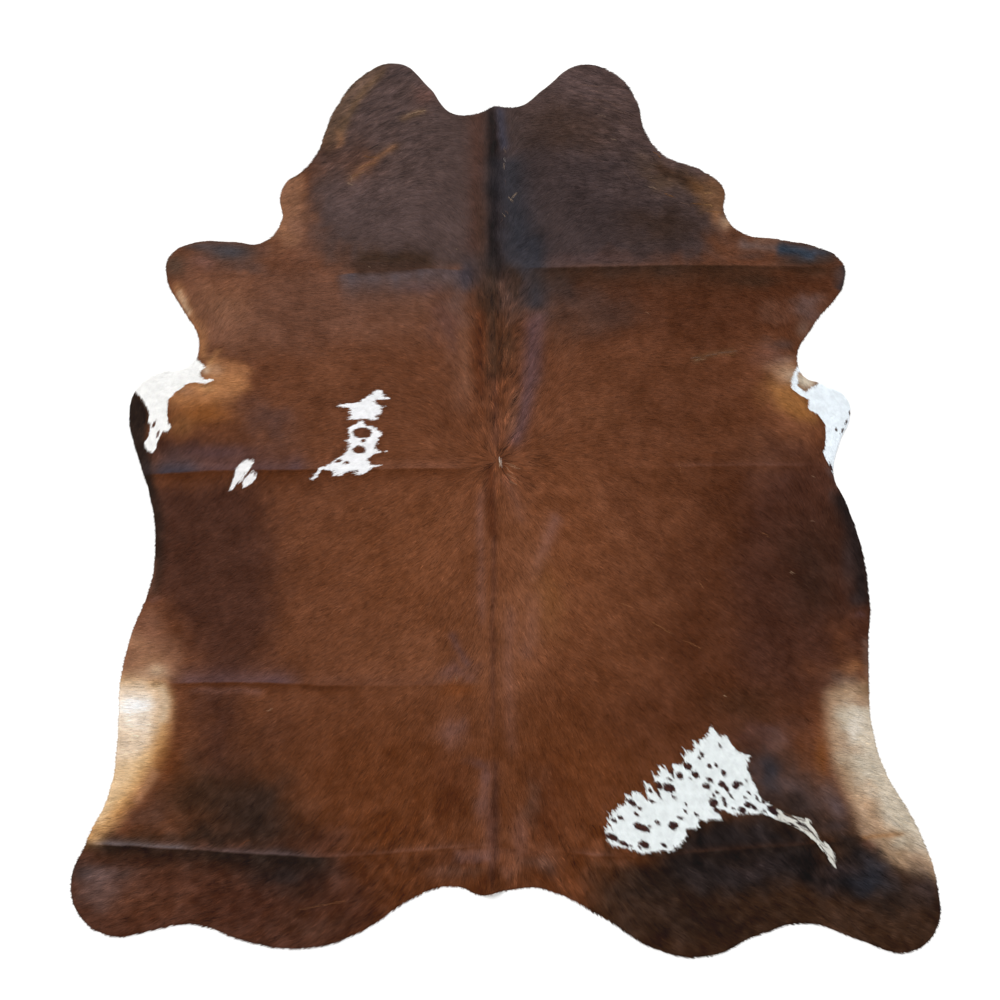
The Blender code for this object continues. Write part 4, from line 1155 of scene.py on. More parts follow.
def coat_points():
    """The coat's points: edge rows, crease rows, the markings, the field."""
    grid = Near(LOW, HIGH, 0.0012)
    grid.take(RING, 0.0034)
    kept = []
    wide = even_steps(RING, 0.0075)
    out = np.roll(wide, -1, axis=0) - np.roll(wide, 1, axis=0)
    out = np.stack([out[:, 1], -out[:, 0]], 1) / np.hypot(*out.T)[:, None]
    for inset, reach in ((0.0038, 0.0024), (0.0085, 0.0040)):
        row = wide - out * inset
        row = row[inside(row, RING)]
        row = row[grid.free(row)]
        grid.take(row, reach)
        kept.append(row)
    for name, height, far, near, line in crease_lines():
        run = np.concatenate([[0.0], np.cumsum(np.hypot(*np.diff(line, axis=0).T))])
        at = np.linspace(0.0, run[-1], max(3, int(run[-1] / CREASE_STEP)))
        row = np.stack([np.interp(at, run, line[:, 0]), np.interp(at, run, line[:, 1])], 1)
        along = np.gradient(row, axis=0)
        along /= np.hypot(*along.T)[:, None]
        across = np.stack([-along[:, 1], along[:, 0]], 1)
        for off in (0.0, 0.0028, -0.0028, 0.0062, -0.0062, 0.0110, -0.0110):
            more = row + across * off
            more = more[inside(more, RING)]
            more = more[grid.free(more)]
            grid.take(more, 0.0022)
            kept.append(more)
    fine = hex_field(LOW, HIGH, MARK_STEP, RNG)
    fine = fine[near_white(seen(fine), 4.0)]
    fine = fine[inside(fine, RING)]
    fine = fine[grid.free(fine)]
    grid.take(fine, 0.0036)
    kept.append(fine)
    grid_wide = Near(LOW, HIGH, 0.0012)
    grid_wide.take(np.vstack([RING] + kept), 0.0052)
    field = hex_field(LOW, HIGH, FIELD_STEP, RNG)
    field = field[inside(field, RING)]
    field = field[grid_wide.free(field)]
    kept.append(field)
    return np.vstack(kept)


def triangulated(ring, field):
    flat = np.vstack([ring, field])
    count = len(ring)
    edges = [(i, (i + 1) % count) for i in range(count)]
    verts, _, faces, _, _, _ = delaunay_2d_cdt([Vector(p) for p in flat], edges, [], 1, 1e-7)
    flat = np.array([(v.x, v.y) for v in verts])
    faces = np.array([f for f in faces if len(f) == 3])
    a, b, c = flat[faces[:, 0]], flat[faces[:, 1]], flat[faces[:, 2]]
    turn = (b[:, 0] - a[:, 0]) * (c[:, 1] - a[:, 1]) - (b[:, 1] - a[:, 1]) * (c[:, 0] - a[:, 0])
    faces[turn < 0] = faces[turn < 0][:, ::-1]
    return flat, faces


def gap_to_edge(points):
    """Distance in from the outline, exact near it."""
    gap, _, _ = line_gap_fast(points)
    return gap


def line_gap_fast(points, reach=0.03):
    """Distance to the outline for the points near it, by short stretches."""
    n = len(points)
    gap = np.full(n, reach)
    out = np.zeros((n, 2))
    hit = np.zeros(n, bool)
    stretch = 24
    ring = np.vstack([RING, RING[:1]])
    for k in range(0, len(RING), stretch):
        line = ring[k:k + stretch + 1]
        low, high = line.min(0) - reach, line.max(0) + reach
        pick = np.nonzero(((points > low) & (points < high)).all(1))[0]
        if len(pick) == 0:
            continue
        d, _, _ = line_gap(points[pick], line)
        near = d < gap[pick]
        gap[pick[near]] = d[near]
        hit[pick[near]] = True
    return gap, out, hit


def planar(points):
    """Map coordinates over the hide's box, with a small margin."""
    wide = max(HIGH - LOW) * 1.02
    return (points[:, :2] - (LOW + HIGH) / 2) / wide + 0.5


def build_coat():
    field = coat_points()
    flat, faces = triangulated(RING, field)
    gap = gap_to_edge(flat)
    gap[:len(RING)] = 0.0
    top = coat_top(flat, gap)
    under_field = hex_field(LOW, HIGH, FLESH_STEP, RNG)
    under_field = under_field[inside(under_field, RING)]
    under_gap = gap_to_edge(under_field)
    under_field = under_field[under_gap > 0.008]
    under, under_faces = triangulated(RING, under_field)
    # the underside's rim points are the coat's rim, a little lower
    count, n = len(RING), len(flat)
    verts = np.vstack([np.column_stack([flat, top]),
                       np.column_stack([under, lift(under)])])
    rim_top = np.arange(count)
    rim_low = n + np.arange(count)
    nxt = (np.arange(count) + 1) % count
    rim = np.vstack([np.column_stack([rim_low, rim_low[nxt], rim_top]),
                     np.column_stack([rim_top, rim_low[nxt], rim_top[nxt]])])
    allf = np.vstack([faces, under_faces[:, ::-1] + n, rim])
    slots = np.concatenate([np.zeros(len(faces)), np.ones(len(under_faces)), np.ones(len(rim))])
    mesh = mesh_from("coat", verts, allf, slots)
    at = np.vstack([flat, under])
    add_colour(mesh, "coat_tone", albedo_of(coat_tone(at)))
    place = seen(at)
    depth, white = white_depth(place)
    add_float(mesh, "white_depth", depth)
    add_colour(mesh, "white_tone", white_albedo(white))
    add_float(mesh, "spot_depth", spot_depth(place))
    way = hair_way(at)
    values = np.column_stack([way[:, 0] ** 2 - way[:, 1] ** 2, 2 * way[:, 0] * way[:, 1], 0 * way[:, 0]])
    mesh.attributes.new("way", "FLOAT_VECTOR", "POINT").data.foreach_set(
        "vector", values.astype(np.float32).ravel())
    add_map(mesh, "OFBake", planar(at))
    coat = bpy.data.objects.new("coat", mesh)
    bpy.context.scene.collection.objects.link(coat)
    return coat


# ------------------------------------------------------------------- locks
# Single pale and dark strokes of hair: from (u, v) to (u, v), tone, strength.
FLECKS = (
    # on the cheek and throat
    (579, 84, 600, 87, "taupe", 0.9), (585, 90, 604, 92, "taupe", 0.5), (590, 98, 610, 102, "taupe", 0.9),
    (608, 102, 622, 106, "taupe", 0.8), (583, 103, 592, 104, "taupe", 0.8), (600, 107, 622, 112, "taupe", 0.8),
    (614, 110, 637, 117, "taupe", 0.9), (597, 114, 605, 117, "biscuit", 0.5), (624, 129, 641, 128, "taupe", 0.7),
    (610, 138, 615, 140, "biscuit", 0.5), (652, 151, 661, 157, "tan", 0.9), (592, 153, 606, 151, "ash", 0.7),
    (641, 176, 652, 178, "taupe", 0.9), (641, 180, 655, 184, "ash", 0.9), (624, 172, 632, 181, "taupe", 0.7),
    (648, 186, 655, 188, "biscuit", 0.6), (652, 188, 668, 192, "taupe", 0.9), (664, 193, 674, 197, "tan", 0.9),
    (680, 202, 694, 207, "taupe", 0.9), (690, 203, 702, 204, "tan", 0.9), (703, 204, 712, 206, "honey", 0.7),
    (703, 193, 712, 193, "honey", 0.6), (706, 211, 722, 212, "tan", 0.9),
    (402, 119, 407, 115, "taupe", 0.9), (406, 115, 416, 112, "biscuit", 0.7), (414, 111, 426, 111, "biscuit", 0.6),
    (374, 147, 392, 147, "taupe", 0.9), (386, 144, 400, 144, "taupe", 0.8), (384, 152, 392, 155, "taupe", 0.8),
    (363, 156, 380, 158, "tan", 0.9), (358, 168, 374, 163, "honey", 0.4), (352, 176, 364, 172, "honey", 0.5),
    (346, 183, 352, 185, "biscuit", 0.6), (350, 174, 352, 180, "biscuit", 0.5), (395, 118, 397, 117, "biscuit", 0.5),
    # along the spine
    (504, 146, 505, 151, "sand", 0.5), (504, 156, 505, 161, "bone", 0.5), (504, 162, 504, 168, "sand", 0.6),
    (505, 178, 506, 183, "ash", 0.7), (508, 196, 512, 201, "sand", 0.7), (511, 199, 516, 193, "sand", 0.6),
    (502, 213, 505, 216, "sand", 0.5), (505, 209, 507, 213, "taupe", 0.7), (504, 217, 501, 222, "ash", 0.7),
    (480, 227, 483, 229, "ash", 0.7), (454, 248, 457, 249, "biscuit", 0.5), (367, 266, 369, 267, "biscuit", 0.5),
    # round the whorl
    (500, 457, 500, 464, "bone", 0.9), (501, 458, 501, 466, "bone", 0.8), (499, 459, 500, 466, "sand", 0.8),
    (505, 463, 515, 466, "biscuit", 0.5), (510, 466, 520, 469, "biscuit", 0.5), (505, 466, 512, 473, "biscuit", 0.5),
    (506, 474, 516, 479, "biscuit", 0.4), (508, 480, 517, 485, "biscuit", 0.4),
    # scratches and single pale hairs
    (690, 358, 700, 357, "taupe", 0.9), (694, 360, 706, 359, "biscuit", 0.5), (704, 356, 716, 354, "taupe", 0.9),
    (718, 353, 738, 351, "taupe", 0.8), (725, 356, 734, 355, "tan", 0.7),
    (621, 603, 631, 607, "fawn", 0.6), (652, 622, 672, 634, "fawn", 0.6), (683, 640, 702, 649, "fawn", 0.6),
    (761, 532, 768, 536, "fawn", 0.6), (789, 571, 791, 572, "biscuit", 0.7), (699, 582, 703, 587, "fawn", 0.6),
    (678, 462, 681, 472, "fawn", 0.6), (722, 695, 724, 696, "sand", 0.8), (236, 848, 249, 840, "chestnut", 1.0),
    (300, 910, 322, 905, "fawn", 0.5), (322, 905, 346, 901, "fawn", 0.5), (266, 712, 271, 709, "biscuit", 0.6),
    (196, 512, 200, 508, "clay", 0.8), (811, 475, 813, 476, "biscuit", 0.7), (456, 675, 457, 679, "biscuit", 0.6),
    (300, 542, 302, 543, "fawn", 0.7), (645, 312, 647, 313, "biscuit", 0.5), (810, 520, 812, 521, "biscuit", 0.5),
    # the thin end of the haunch's marking is creamy and streaked
    (782, 813, 796, 818, "sand", 0.35), (790, 818, 806, 821, "taupe", 0.5), (800, 827, 812, 833, "sand", 0.3),
    (820, 843, 828, 848, "taupe", 0.4), (828, 854, 834, 862, "sand", 0.4),
)


def white_hair(base, rng):
    """White hair, each lock a little greyer, warmer or cooler."""
    count = len(base)
    return base * (1 - 0.06 * rng.random((count, 1)) ** 1.8) * (1 - 0.012 * rng.random((count, 3)))


def fleck_locks(rng):
    """Roots, angles and tones of the locks that make the single strokes."""
    root, angle, tone, share = [], [], [], []
    for u0, v0, u1, v1, colour, strength in FLECKS:
        a, b = placed(u0, v0), placed(u1, v1)
        long = np.hypot(*(b - a))
        count = max(3, int(long / 0.0022))
        t = (np.arange(count) + rng.random(count) * 0.8) / count
        along = (b - a) / max(long, 1e-6)
        across = np.array([-along[1], along[0]])
        off = rng.normal(0.0, 0.0011, count)
        root.append(a + (b - a) * (t * 0.9 - 0.05)[:, None] + off[:, None] * across)
        angle.append(np.full(count, math.atan2(along[1], along[0])) + rng.normal(0, 0.12, count))
        tone.append(np.tile(np.array(COLOURS[colour]) / 255.0, (count, 1)))
        share.append(strength * (0.6 + 0.4 * rng.random(count)))
    return np.vstack(root), np.concatenate(angle), np.vstack(tone), np.concatenate(share)


def lock_roots(rng):
    """Roots over the field, and closer set in and round the markings."""
    wide = hex_field(LOW, HIGH, LOCK_STEP, rng, 0.35)
    wide = wide[inside(wide, RING)]
    wide = wide[~near_white(seen(wide), 3.0)]
    fine = hex_field(LOW, HIGH, MARK_LOCK_STEP, rng, 0.35)
    fine = fine[near_white(seen(fine), 3.0)]
    fine = fine[inside(fine, RING)]
    rim = even_steps(RING, 0.0042)
    rim = rim + (rng.random(rim.shape) - 0.5) * 0.003
    rim = rim[inside(rim, RING)]
    rim = rim[~near_white(seen(rim), 3.0)]
    return np.vstack([wide, rim]), fine


def edge_out(points):
    """How far points lie outside the outline."""
    gap, _, _ = line_gap_fast(points)
    return np.where(inside(points, RING), 0.0, gap)


def crease_near(points, reach):
    """1 on a crease, falling to 0 at reach."""
    near = np.zeros(len(points))
    for name, _, _, _, line in crease_lines():
        if name.startswith(("spine", "ripple", "flank")):
            continue
        gap, _, _ = line_gap(points, line, reach=reach)
        near = np.maximum(near, 1 - np.clip(gap / reach, 0.0, 1.0))
    return near


def combed_strands(at):
    """How far the hair parts into separate strands: most along the spine's front."""
    u, v = at[:, 0], at[:, 1]
    front = np.exp(-((u - 500) / 24.0) ** 2) * smooth(v, 250, 300) * smooth(-v, -480, -440)
    whorl = np.exp(-(((u - 503) / 34.0) ** 2 + ((v - 470) / 26.0) ** 2))
    poll = 0.5 * smooth(-v, -230, -150) * smooth(np.abs(u - 500), 40, 90)
    thigh = 0.35 * smooth(v, 780, 860)
    return np.maximum.reduce([front, 0.8 * whorl, poll, thigh])


def build_locks():
    rng = np.random.default_rng(23)
    field, fine = lock_roots(rng)
    fleck_root, fleck_angle, fleck_tone, fleck_share = fleck_locks(rng)
    room = LOCK_PIECES * LOCKS_PER_PIECE - len(fine) - len(fleck_root)
    if len(field) > room:
        field = field[np.sort(rng.permutation(len(field))[:room])]
    print("locks in the field", len(field), "in the markings", len(fine), "strokes", len(fleck_root))
    root = np.vstack([field, fine, fleck_root])
    n, first_fleck = len(root), len(field) + len(fine)
    is_fine = np.arange(n) >= len(field)
    is_fleck = np.arange(n) >= first_fleck
    way = hair_way(root)
    angle = np.arctan2(way[:, 1], way[:, 0])
    clump = combed_noise(root, angle, 0.030, 0.0085, seed=3)
    wisp = combed_noise(root, angle, 0.017, 0.0036, seed=29)
    strands = combed_strands(seen(root))
    angle = angle + (clump - 0.5) * (0.30 + 0.7 * strands) + rng.normal(0.0, 0.10, n)
    angle[is_fleck] = fleck_angle
    way = np.stack([np.cos(angle), np.sin(angle)], 1)
    long = np.where(is_fine, MARK_LONG, LOCK_LONG * (1 + 0.45 * strands)) * (0.78 + 0.44 * rng.random(n))
    long = long * (1 - 0.55 * crease_near(root, 0.014))
    # at the cut edge the hair stops just past it
    over = edge_out(root + way * long[:, None])
    long = np.where(over > TRIM, np.maximum(0.0045, long - over + TRIM * rng.random(n)), long)
    mid = root + way * (0.42 * long)[:, None]
    bend = np.stack([-way[:, 1], way[:, 0]], 1) * (rng.normal(0.0, 0.045, n) * long)[:, None]
    tip = root + way * long[:, None] + bend
    wide = np.where(is_fine, MARK_WIDE, LOCK_WIDE) * (0.75 + 0.5 * rng.random(n))
    wide[is_fleck] *= 0.8

    # tone, painted at the root, the middle and the tip
    tone = coat_tone(np.vstack([root, mid, tip])).reshape(3, n, 3)
    at = seen(root)
    some = rng.normal(0.0, 0.055, n) * (1 + 0.4 * np.exp(-((at[:, 0] - 420) / 150) ** 2 - ((at[:, 1] - 600) / 150) ** 2))
    shade = 1 + (0.14 + 0.70 * strands) * (clump - 0.5) + (0.18 + 0.60 * strands) * (wisp - 0.5) + some
    warm = 1 + np.outer(rng.normal(0.0, 0.020, n), (0.5, 0.0, -0.8))
    tone = np.clip(tone * (shade[:, None] * warm)[None] + (0.09 * some)[None, :, None], 0.015, 0.97)
    teeth = combed_noise(root, angle, 0.012, 0.0024, seed=51) - 0.5
    at = seen(root)
    even = (at[:, 1] < 456) & ((at[:, 0] < 222) | (at[:, 0] > 780))     # the flaps' clean-cut markings
    swept = np.where(even, 0.25, 1.0) * (0.012 * teeth + 0.007 * (wisp - 0.5)) + rng.normal(0.0, 0.0008, n)
    at = seen(root + way * (0.30 * long + swept)[:, None])
    depth, white = white_depth(at)
    depth += 5.0 * (clump - 0.5) + 3.0 * (wisp - 0.5) + rng.normal(0, 0.4, n)
    at = seen(root + way * (0.30 * long + 0.25 * swept)[:, None])
    spot = spot_depth(at) + 1.2 * (wisp - 0.5) + rng.normal(0, 0.22, n)
    is_white = (depth > 0) & (spot < 0) & ~is_fleck
    dark = (depth > 0) & (spot >= 0) & ~is_fleck
    tone[:, is_white] = white_hair(white[is_white], rng)[None]
    own = np.where(at[dark, :1] < 500.0, 0.85, 0.12)      # how much of the coat's own brown
    tone[:, dark] = own * tone[:, dark] + (1 - own) * np.array(COLOURS["damson"]) / 255.0 \
        * (0.80 + 0.4 * rng.random((int(dark.sum()), 1)))
    tone[:, first_fleck:] = tone[:, first_fleck:] * (1 - fleck_share[:, None]) + (fleck_share[:, None] * fleck_tone)
    albedo = albedo_of(tone)
    albedo[:, is_white] = white_albedo(tone[:, is_white])

    places = np.vstack([root, mid, tip])
    gap, _, _ = line_gap_fast(places)
    outside = ~inside(places, RING)
    gap = np.where(outside, 0.0, gap)
    height = coat_top(places, gap)
    z_root, z_mid, z_tip = height[:n], height[n:2 * n], height[2 * n:]
    rise = 0.0003 + 0.0006 * rng.random(n)
    droop = np.where(outside[2 * n:], 0.0008, 0.0)
    across = np.stack([-way[:, 1], way[:, 0]], 1) * (wide / 2)[:, None]
    a = np.column_stack([root + across, z_root - 0.00015])
    b = np.column_stack([root - across, z_root - 0.00015])
    rise = np.where(is_fleck, rise + 0.0005, rise)
    z_end = np.maximum(z_tip + rise - droop, 0.0006)
    straight = 0.58 * (z_root - 0.00015) + 0.42 * z_end
    c = np.column_stack([mid, np.maximum(z_mid + LOCK_DEEP + 0.4 * rise, straight + 0.6 * LOCK_DEEP)])
    d = np.column_stack([tip, z_end])
    leftwards = np.column_stack([across / (wide / 2)[:, None], np.zeros(n)])
    ahead = np.column_stack([way, np.zeros(n)])
    up = np.tile((0.0, 0.0, 1.0), (n, 1))
    normals = [up + 0.42 * leftwards - 0.05 * ahead, up - 0.42 * leftwards - 0.05 * ahead,
               up - 0.04 * ahead, up + 0.16 * ahead]

    # even shares for the pieces, each spread over the whole hide
    share = np.array_split(rng.permutation(n), LOCK_PIECES)
    made = []
    for k, pick in enumerate(share):
        m = len(pick)
        side = int(math.ceil(math.sqrt(m)))
        # cells of the map follow the locks' places: rows along y, then x
        pick = pick[np.argsort(root[pick, 1], kind="stable")]
        rows = [row[np.argsort(root[row, 0], kind="stable")] for row in np.array_split(pick, side)]
        col = np.concatenate([np.arange(len(row)) for row in rows])
        line = np.concatenate([np.full(len(row), j) for j, row in enumerate(rows)])
        pick = np.concatenate(rows)
        verts = np.stack([a[pick], b[pick], c[pick], d[pick]], 1).reshape(-1, 3)
        base = 4 * np.arange(m)[:, None]
        faces = np.stack([base + (0, 2, 3), base + (1, 3, 2), base + (0, 1, 2), base + (0, 3, 1)], 1).reshape(-1, 3)
        name = "hair_%d" % (k + 1)
        mesh = mesh_from(name, verts, faces)
        # painted shade along each lock: darker at the root, where it lies among the other hair, a little lighter at the
        # tip, but white hair hardly
        deep = np.where(is_white[pick], 0.03, 0.15)
        light = np.stack([1 - deep, 1 - deep, 1 + 0 * deep, 1 + 0.5 * deep], 1)
        rgb = (albedo[:, pick][[0, 0, 1, 2]].transpose(1, 0, 2) * light[:, :, None]).reshape(-1, 3)
        rgb = np.minimum(rgb, 0.97)
        add_colour(mesh, "lock_tone", rgb)
        cell = 1.0 / side
        corner = np.array([(0.18, 0.15), (0.82, 0.15), (0.5, 0.50), (0.5, 0.85)])
        uv = (np.stack([col, line], 1)[:, None, :] + corner[None]) * cell
        add_map(mesh, "OFBake", uv.reshape(-1, 2))
        soft = np.stack([x[pick] for x in normals], 1).reshape(-1, 3)
        soft /= np.linalg.norm(soft, axis=1)[:, None]
        mesh.normals_split_custom_set_from_vertices(soft.tolist())
        piece = bpy.data.objects.new(name, mesh)
        bpy.context.scene.collection.objects.link(piece)
        made.append(piece)
    return made


# --------------------------------------------------------------- materials
def nodes_of(name):
    material = bpy.data.materials.new(name)
    material.use_nodes = True
    tree = material.node_tree
    return material, tree, tree.nodes["Principled BSDF"]


def node(tree, kind, **settings):
    made = tree.nodes.new(kind)
    for key, value in settings.items():
        setattr(made, key, value)
    return made


def maths(tree, operation, a, b=None, c=None, clamp=False):
    made = node(tree, "ShaderNodeMath", operation=operation, use_clamp=clamp)
    for socket, value in zip(made.inputs, (a, b, c)):
        if value is None:
            continue
        if isinstance(value, (int, float)):
            socket.default_value = value
        else:
            tree.links.new(value, socket)
    return made.outputs[0]


def ramp(tree, value, low, high, to_low=0.0, to_high=1.0):
    made = node(tree, "ShaderNodeMapRange", interpolation_type="SMOOTHSTEP")
    tree.links.new(value, made.inputs["Value"])
    for key, v in (("From Min", low), ("From Max", high), ("To Min", to_low), ("To Max", to_high)):
        made.inputs[key].default_value = v
    return made.outputs["Result"]


def mix_colour(tree, factor, a, b, blend="MIX"):
    made = node(tree, "ShaderNodeMix", data_type="RGBA", blend_type=blend)
    for socket, value in ((made.inputs[0], factor), (made.inputs[6], a), (made.inputs[7], b)):
        if isinstance(value, (int, float)):
            socket.default_value = value
        elif isinstance(value, tuple):
            socket.default_value = value if len(value) == 4 else (*value, 1.0)
        else:
            tree.links.new(value, socket)
    return made.outputs[2]


def combed(tree, where, way, long, wide, turns=6, detail=2.0, shift=0.0):
    """Noise drawn out along the hair, from fixed directions blended by the way."""
    total, weight = None, None
    for k in range(turns):
        a = math.pi * k / turns
        dot = node(tree, "ShaderNodeVectorMath", operation="DOT_PRODUCT")
        tree.links.new(way, dot.inputs[0])
        dot.inputs[1].default_value = (math.cos(2 * a), math.sin(2 * a), 0.0)
        near = maths(tree, "POWER", maths(tree, "MAXIMUM", dot.outputs["Value"], 0.0), 5.0)
        turned = node(tree, "ShaderNodeMapping", vector_type="TEXTURE")
        turned.inputs["Rotation"].default_value = (0.0, 0.0, a)
        turned.inputs["Scale"].default_value = (long, wide, 1.0)
        turned.inputs["Location"].default_value = (shift + 0.37 * k, 0.0, 0.0)
        tree.links.new(where, turned.inputs["Vector"])
        grain = node(tree, "ShaderNodeTexNoise", noise_dimensions="2D")
        grain.inputs["Scale"].default_value = 1.0
        grain.inputs["Detail"].default_value = detail
        grain.inputs["Roughness"].default_value = 0.6
        tree.links.new(turned.outputs[0], grain.inputs["Vector"])
        part = maths(tree, "MULTIPLY", near, grain.outputs["Fac"])
        total = part if total is None else maths(tree, "ADD", total, part)
        weight = near if weight is None else maths(tree, "ADD", weight, near)
    return maths(tree, "DIVIDE", total, maths(tree, "MAXIMUM", weight, 0.001))


def coat_material():
    material, tree, surface = nodes_of("hair_coat")
    link = tree.links.new
    where = node(tree, "ShaderNodeTexCoord").outputs["Object"]
    tone = node(tree, "ShaderNodeAttribute", attribute_name="coat_tone").outputs["Color"]
    white = node(tree, "ShaderNodeAttribute", attribute_name="white_depth").outputs["Fac"]
    spot = node(tree, "ShaderNodeAttribute", attribute_name="spot_depth").outputs["Fac"]
    way = node(tree, "ShaderNodeAttribute", attribute_name="way").outputs["Vector"]
    clumps = combed(tree, where, way, 0.030, 0.0060, detail=1.0)
    strands = combed(tree, where, way, 0.016, 0.0016, detail=1.0, shift=2.3)
    # darker and lighter hair in streaks
    streak = maths(tree, "ADD", ramp(tree, clumps, 0.30, 0.70, 0.91, 1.08),
                   ramp(tree, strands, 0.25, 0.75, -0.09, 0.09))
    shade = node(tree, "ShaderNodeCombineXYZ")
    for socket in shade.inputs:
        link(streak, socket)
    colour = mix_colour(tree, 1.0, tone, shade.outputs[0], "MULTIPLY")
    # ragged white markings and their spots
    ragged = maths(tree, "MULTIPLY", maths(tree, "SUBTRACT", clumps, 0.5), 8.0)
    is_white = ramp(tree, maths(tree, "ADD", white, ragged), -0.6, 0.6)
    spotted = ramp(tree, maths(tree, "ADD", spot, maths(tree, "MULTIPLY", maths(tree, "SUBTRACT", strands, 0.5), 3.0)), -0.6, 0.6)
    is_white = maths(tree, "MULTIPLY", is_white, maths(tree, "SUBTRACT", 1.0, spotted))
    pale = node(tree, "ShaderNodeAttribute", attribute_name="white_tone").outputs["Color"]
    colour = mix_colour(tree, is_white, colour, pale)
    link(colour, surface.inputs["Base Color"])
    rough = ramp(tree, strands, 0.2, 0.8, 0.46, 0.66)
    link(rough, surface.inputs["Roughness"])
    surface.inputs["Specular IOR Level"].default_value = 0.07
    surface.inputs["Sheen Weight"].default_value = 0.02
    surface.inputs["Sheen Roughness"].default_value = 0.45
    surface.inputs["Sheen Tint"].default_value = (0.78, 0.84, 1.0, 1.0)
    bump = node(tree, "ShaderNodeBump")
    bump.inputs["Strength"].default_value = 0.55
    bump.inputs["Distance"].default_value = 0.0006
    height = maths(tree, "ADD", maths(tree, "MULTIPLY", clumps, 1.2), strands)
    link(height, bump.inputs["Height"])
    link(bump.outputs["Normal"], surface.inputs["Normal"])
    return material


def lock_material():
    material, tree, surface = nodes_of("hair_locks")
    link = tree.links.new
    where = node(tree, "ShaderNodeTexCoord").outputs["Object"]
    tone = node(tree, "ShaderNodeAttribute", attribute_name="lock_tone").outputs["Color"]
    grain = node(tree, "ShaderNodeTexNoise")
    grain.inputs["Scale"].default_value = 900.0
    grain.inputs["Detail"].default_value = 1.0
    link(where, grain.inputs["Vector"])
    patch = node(tree, "ShaderNodeTexNoise")
    patch.inputs["Scale"].default_value = 60.0
    patch.inputs["Detail"].default_value = 3.0
    link(where, patch.inputs["Vector"])
    streak = maths(tree, "MULTIPLY", ramp(tree, grain.outputs["Fac"], 0.3, 0.7, 0.90, 1.10),
                   ramp(tree, patch.outputs["Fac"], 0.3, 0.7, 0.93, 1.07))
    shade = node(tree, "ShaderNodeCombineXYZ")
    for socket in shade.inputs:
        link(streak, socket)
    link(mix_colour(tree, 1.0, tone, shade.outputs[0], "MULTIPLY"), surface.inputs["Base Color"])
    link(ramp(tree, grain.outputs["Fac"], 0.3, 0.7, 0.42, 0.60), surface.inputs["Roughness"])
    surface.inputs["Specular IOR Level"].default_value = 0.07
    surface.inputs["Sheen Weight"].default_value = 0.02
    surface.inputs["Sheen Roughness"].default_value = 0.45
    surface.inputs["Sheen Tint"].default_value = (0.78, 0.84, 1.0, 1.0)
    return material


def flesh_material():
    """The suede underside and the cut edge."""
    material, tree, surface = nodes_of("flesh_side")
    link = tree.links.new
    where = node(tree, "ShaderNodeTexCoord").outputs["Object"]
    cloud = node(tree, "ShaderNodeTexNoise")
    cloud.inputs["Scale"].default_value = 7.0
    cloud.inputs["Detail"].default_value = 5.0
    link(where, cloud.inputs["Vector"])
    nap = node(tree, "ShaderNodeTexNoise")
    nap.inputs["Scale"].default_value = 420.0
    nap.inputs["Detail"].default_value = 3.0
    link(where, nap.inputs["Vector"])
    colour = mix_colour(tree, ramp(tree, cloud.outputs["Fac"], 0.35, 0.65), (0.50, 0.40, 0.29), (0.64, 0.54, 0.42))
    colour = mix_colour(tree, ramp(tree, nap.outputs["Fac"], 0.3, 0.7, 0.0, 0.35), colour, (0.38, 0.29, 0.20))
    link(colour, surface.inputs["Base Color"])
    surface.inputs["Roughness"].default_value = 0.92
    surface.inputs["Specular IOR Level"].default_value = 0.2
    bump = node(tree, "ShaderNodeBump")
    bump.inputs["Strength"].default_value = 0.5
    bump.inputs["Distance"].default_value = 0.0006
    link(nap.outputs["Fac"], bump.inputs["Height"])
    link(bump.outputs["Normal"], surface.inputs["Normal"])
    return material


def floor_material():
    material, tree, surface = nodes_of("floor")
    surface.inputs["Base Color"].default_value = (0.93, 0.93, 0.93, 1.0)
    surface.inputs["Roughness"].default_value = 0.95
    surface.inputs["Specular IOR Level"].default_value = 0.0
    return material


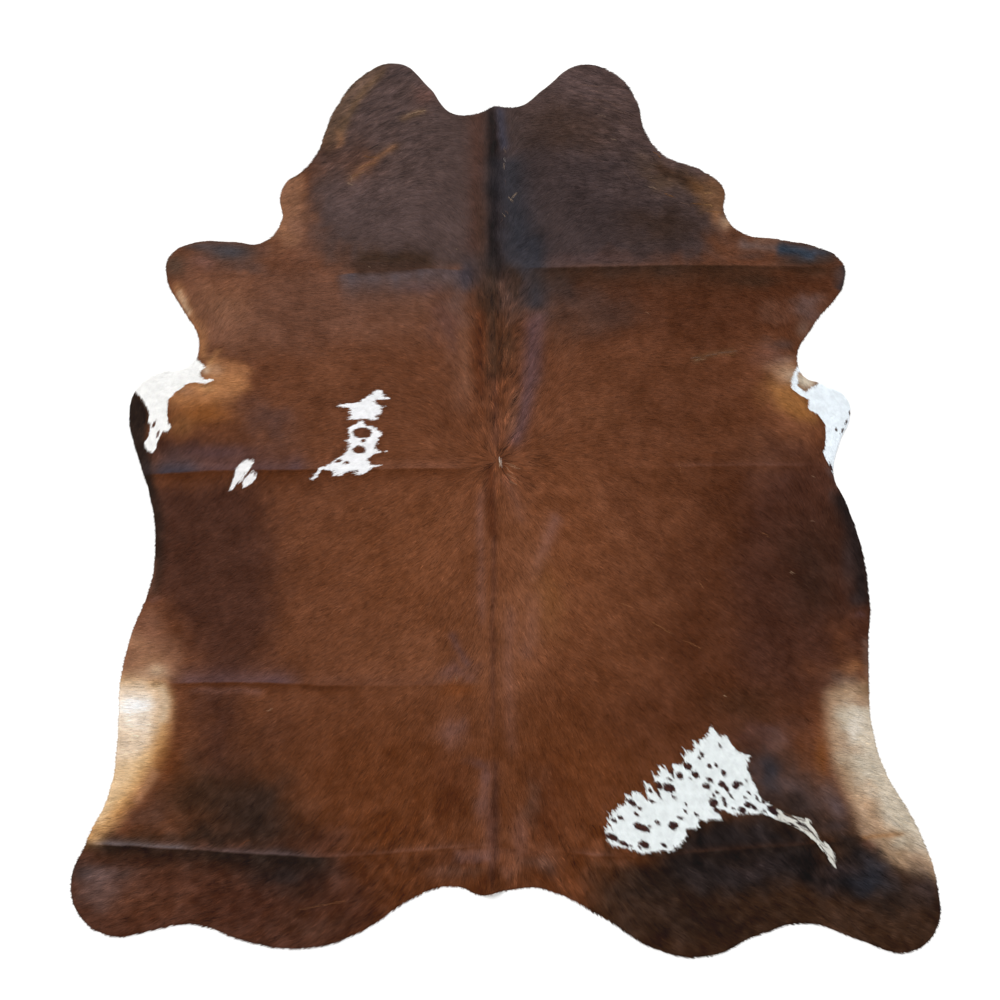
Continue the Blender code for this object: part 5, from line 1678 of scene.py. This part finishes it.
# ------------------------------------------------------------------ the hide
coat = build_coat()
coat.data.materials.append(coat_material())
coat.data.materials.append(flesh_material())
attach(coat, "root")
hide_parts("hide")
hair = build_locks()
hair_finish = lock_material()
for piece in hair:
    piece.data.materials.append(hair_finish)
    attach(piece, "root")

# ------------------------------------------------- floor, lights, camera
floor_mesh = bpy.data.meshes.new("floor")
floor_mesh.from_pydata([(-30, -30, 0), (30, -30, 0), (30, 30, 0), (-30, 30, 0)], [], [(0, 1, 2, 3)])
floor_mesh.materials.append(floor_material())
floor = bpy.data.objects.new("floor", floor_mesh)
floor.location.z = -0.0002
bpy.context.scene.collection.objects.link(floor)

world = bpy.data.worlds.new("studio")
world.use_nodes = True
world.node_tree.nodes["Background"].inputs["Color"].default_value = (0.99, 0.995, 1.0, 1.0)
world.node_tree.nodes["Background"].inputs["Strength"].default_value = 0.75
bpy.context.scene.world = world


def softbox(name, azimuth, height, strength, spread, colour):
    """A wide soft light from that side: azimuth clockwise from the far side."""
    light = bpy.data.lights.new(name, "SUN")
    light.energy = strength
    light.angle = math.radians(spread)
    light.color = colour
    lamp = bpy.data.objects.new(name, light)
    a, h = math.radians(azimuth), math.radians(height)
    back = Vector((math.sin(a) * math.cos(h), math.cos(a) * math.cos(h), math.sin(h)))
    lamp.location = back * 6.0
    lamp.rotation_euler = (-back).to_track_quat("-Z", "Y").to_euler()
    bpy.context.scene.collection.objects.link(lamp)
    return lamp


softbox("key", -25, 42, 1.85, 38, (1.0, 0.995, 0.985))
softbox("fill", 150, 55, 0.30, 60, (1.0, 0.98, 0.96))

lens = bpy.data.cameras.new("camera")
lens.sensor_width = 36.0
lens.lens = VIEW_LONG * 36.0
lens.clip_end = 100.0
camera = bpy.data.objects.new("camera", lens)
aim = Vector((AIM[0], AIM[1], 0.0))
back = Vector((0.0, -math.cos(VIEW_DOWN), math.sin(VIEW_DOWN)))
camera.location = aim + back * VIEW_REACH
camera.rotation_euler = (-back).to_track_quat("-Z", "Y").to_euler()
bpy.context.scene.collection.objects.link(camera)
bpy.context.scene.camera = camera
bpy.context.scene.view_settings.view_transform = "Standard"

# ------------------------------------------------------------------- sizes
print("coat triangles", len(coat.data.polygons))
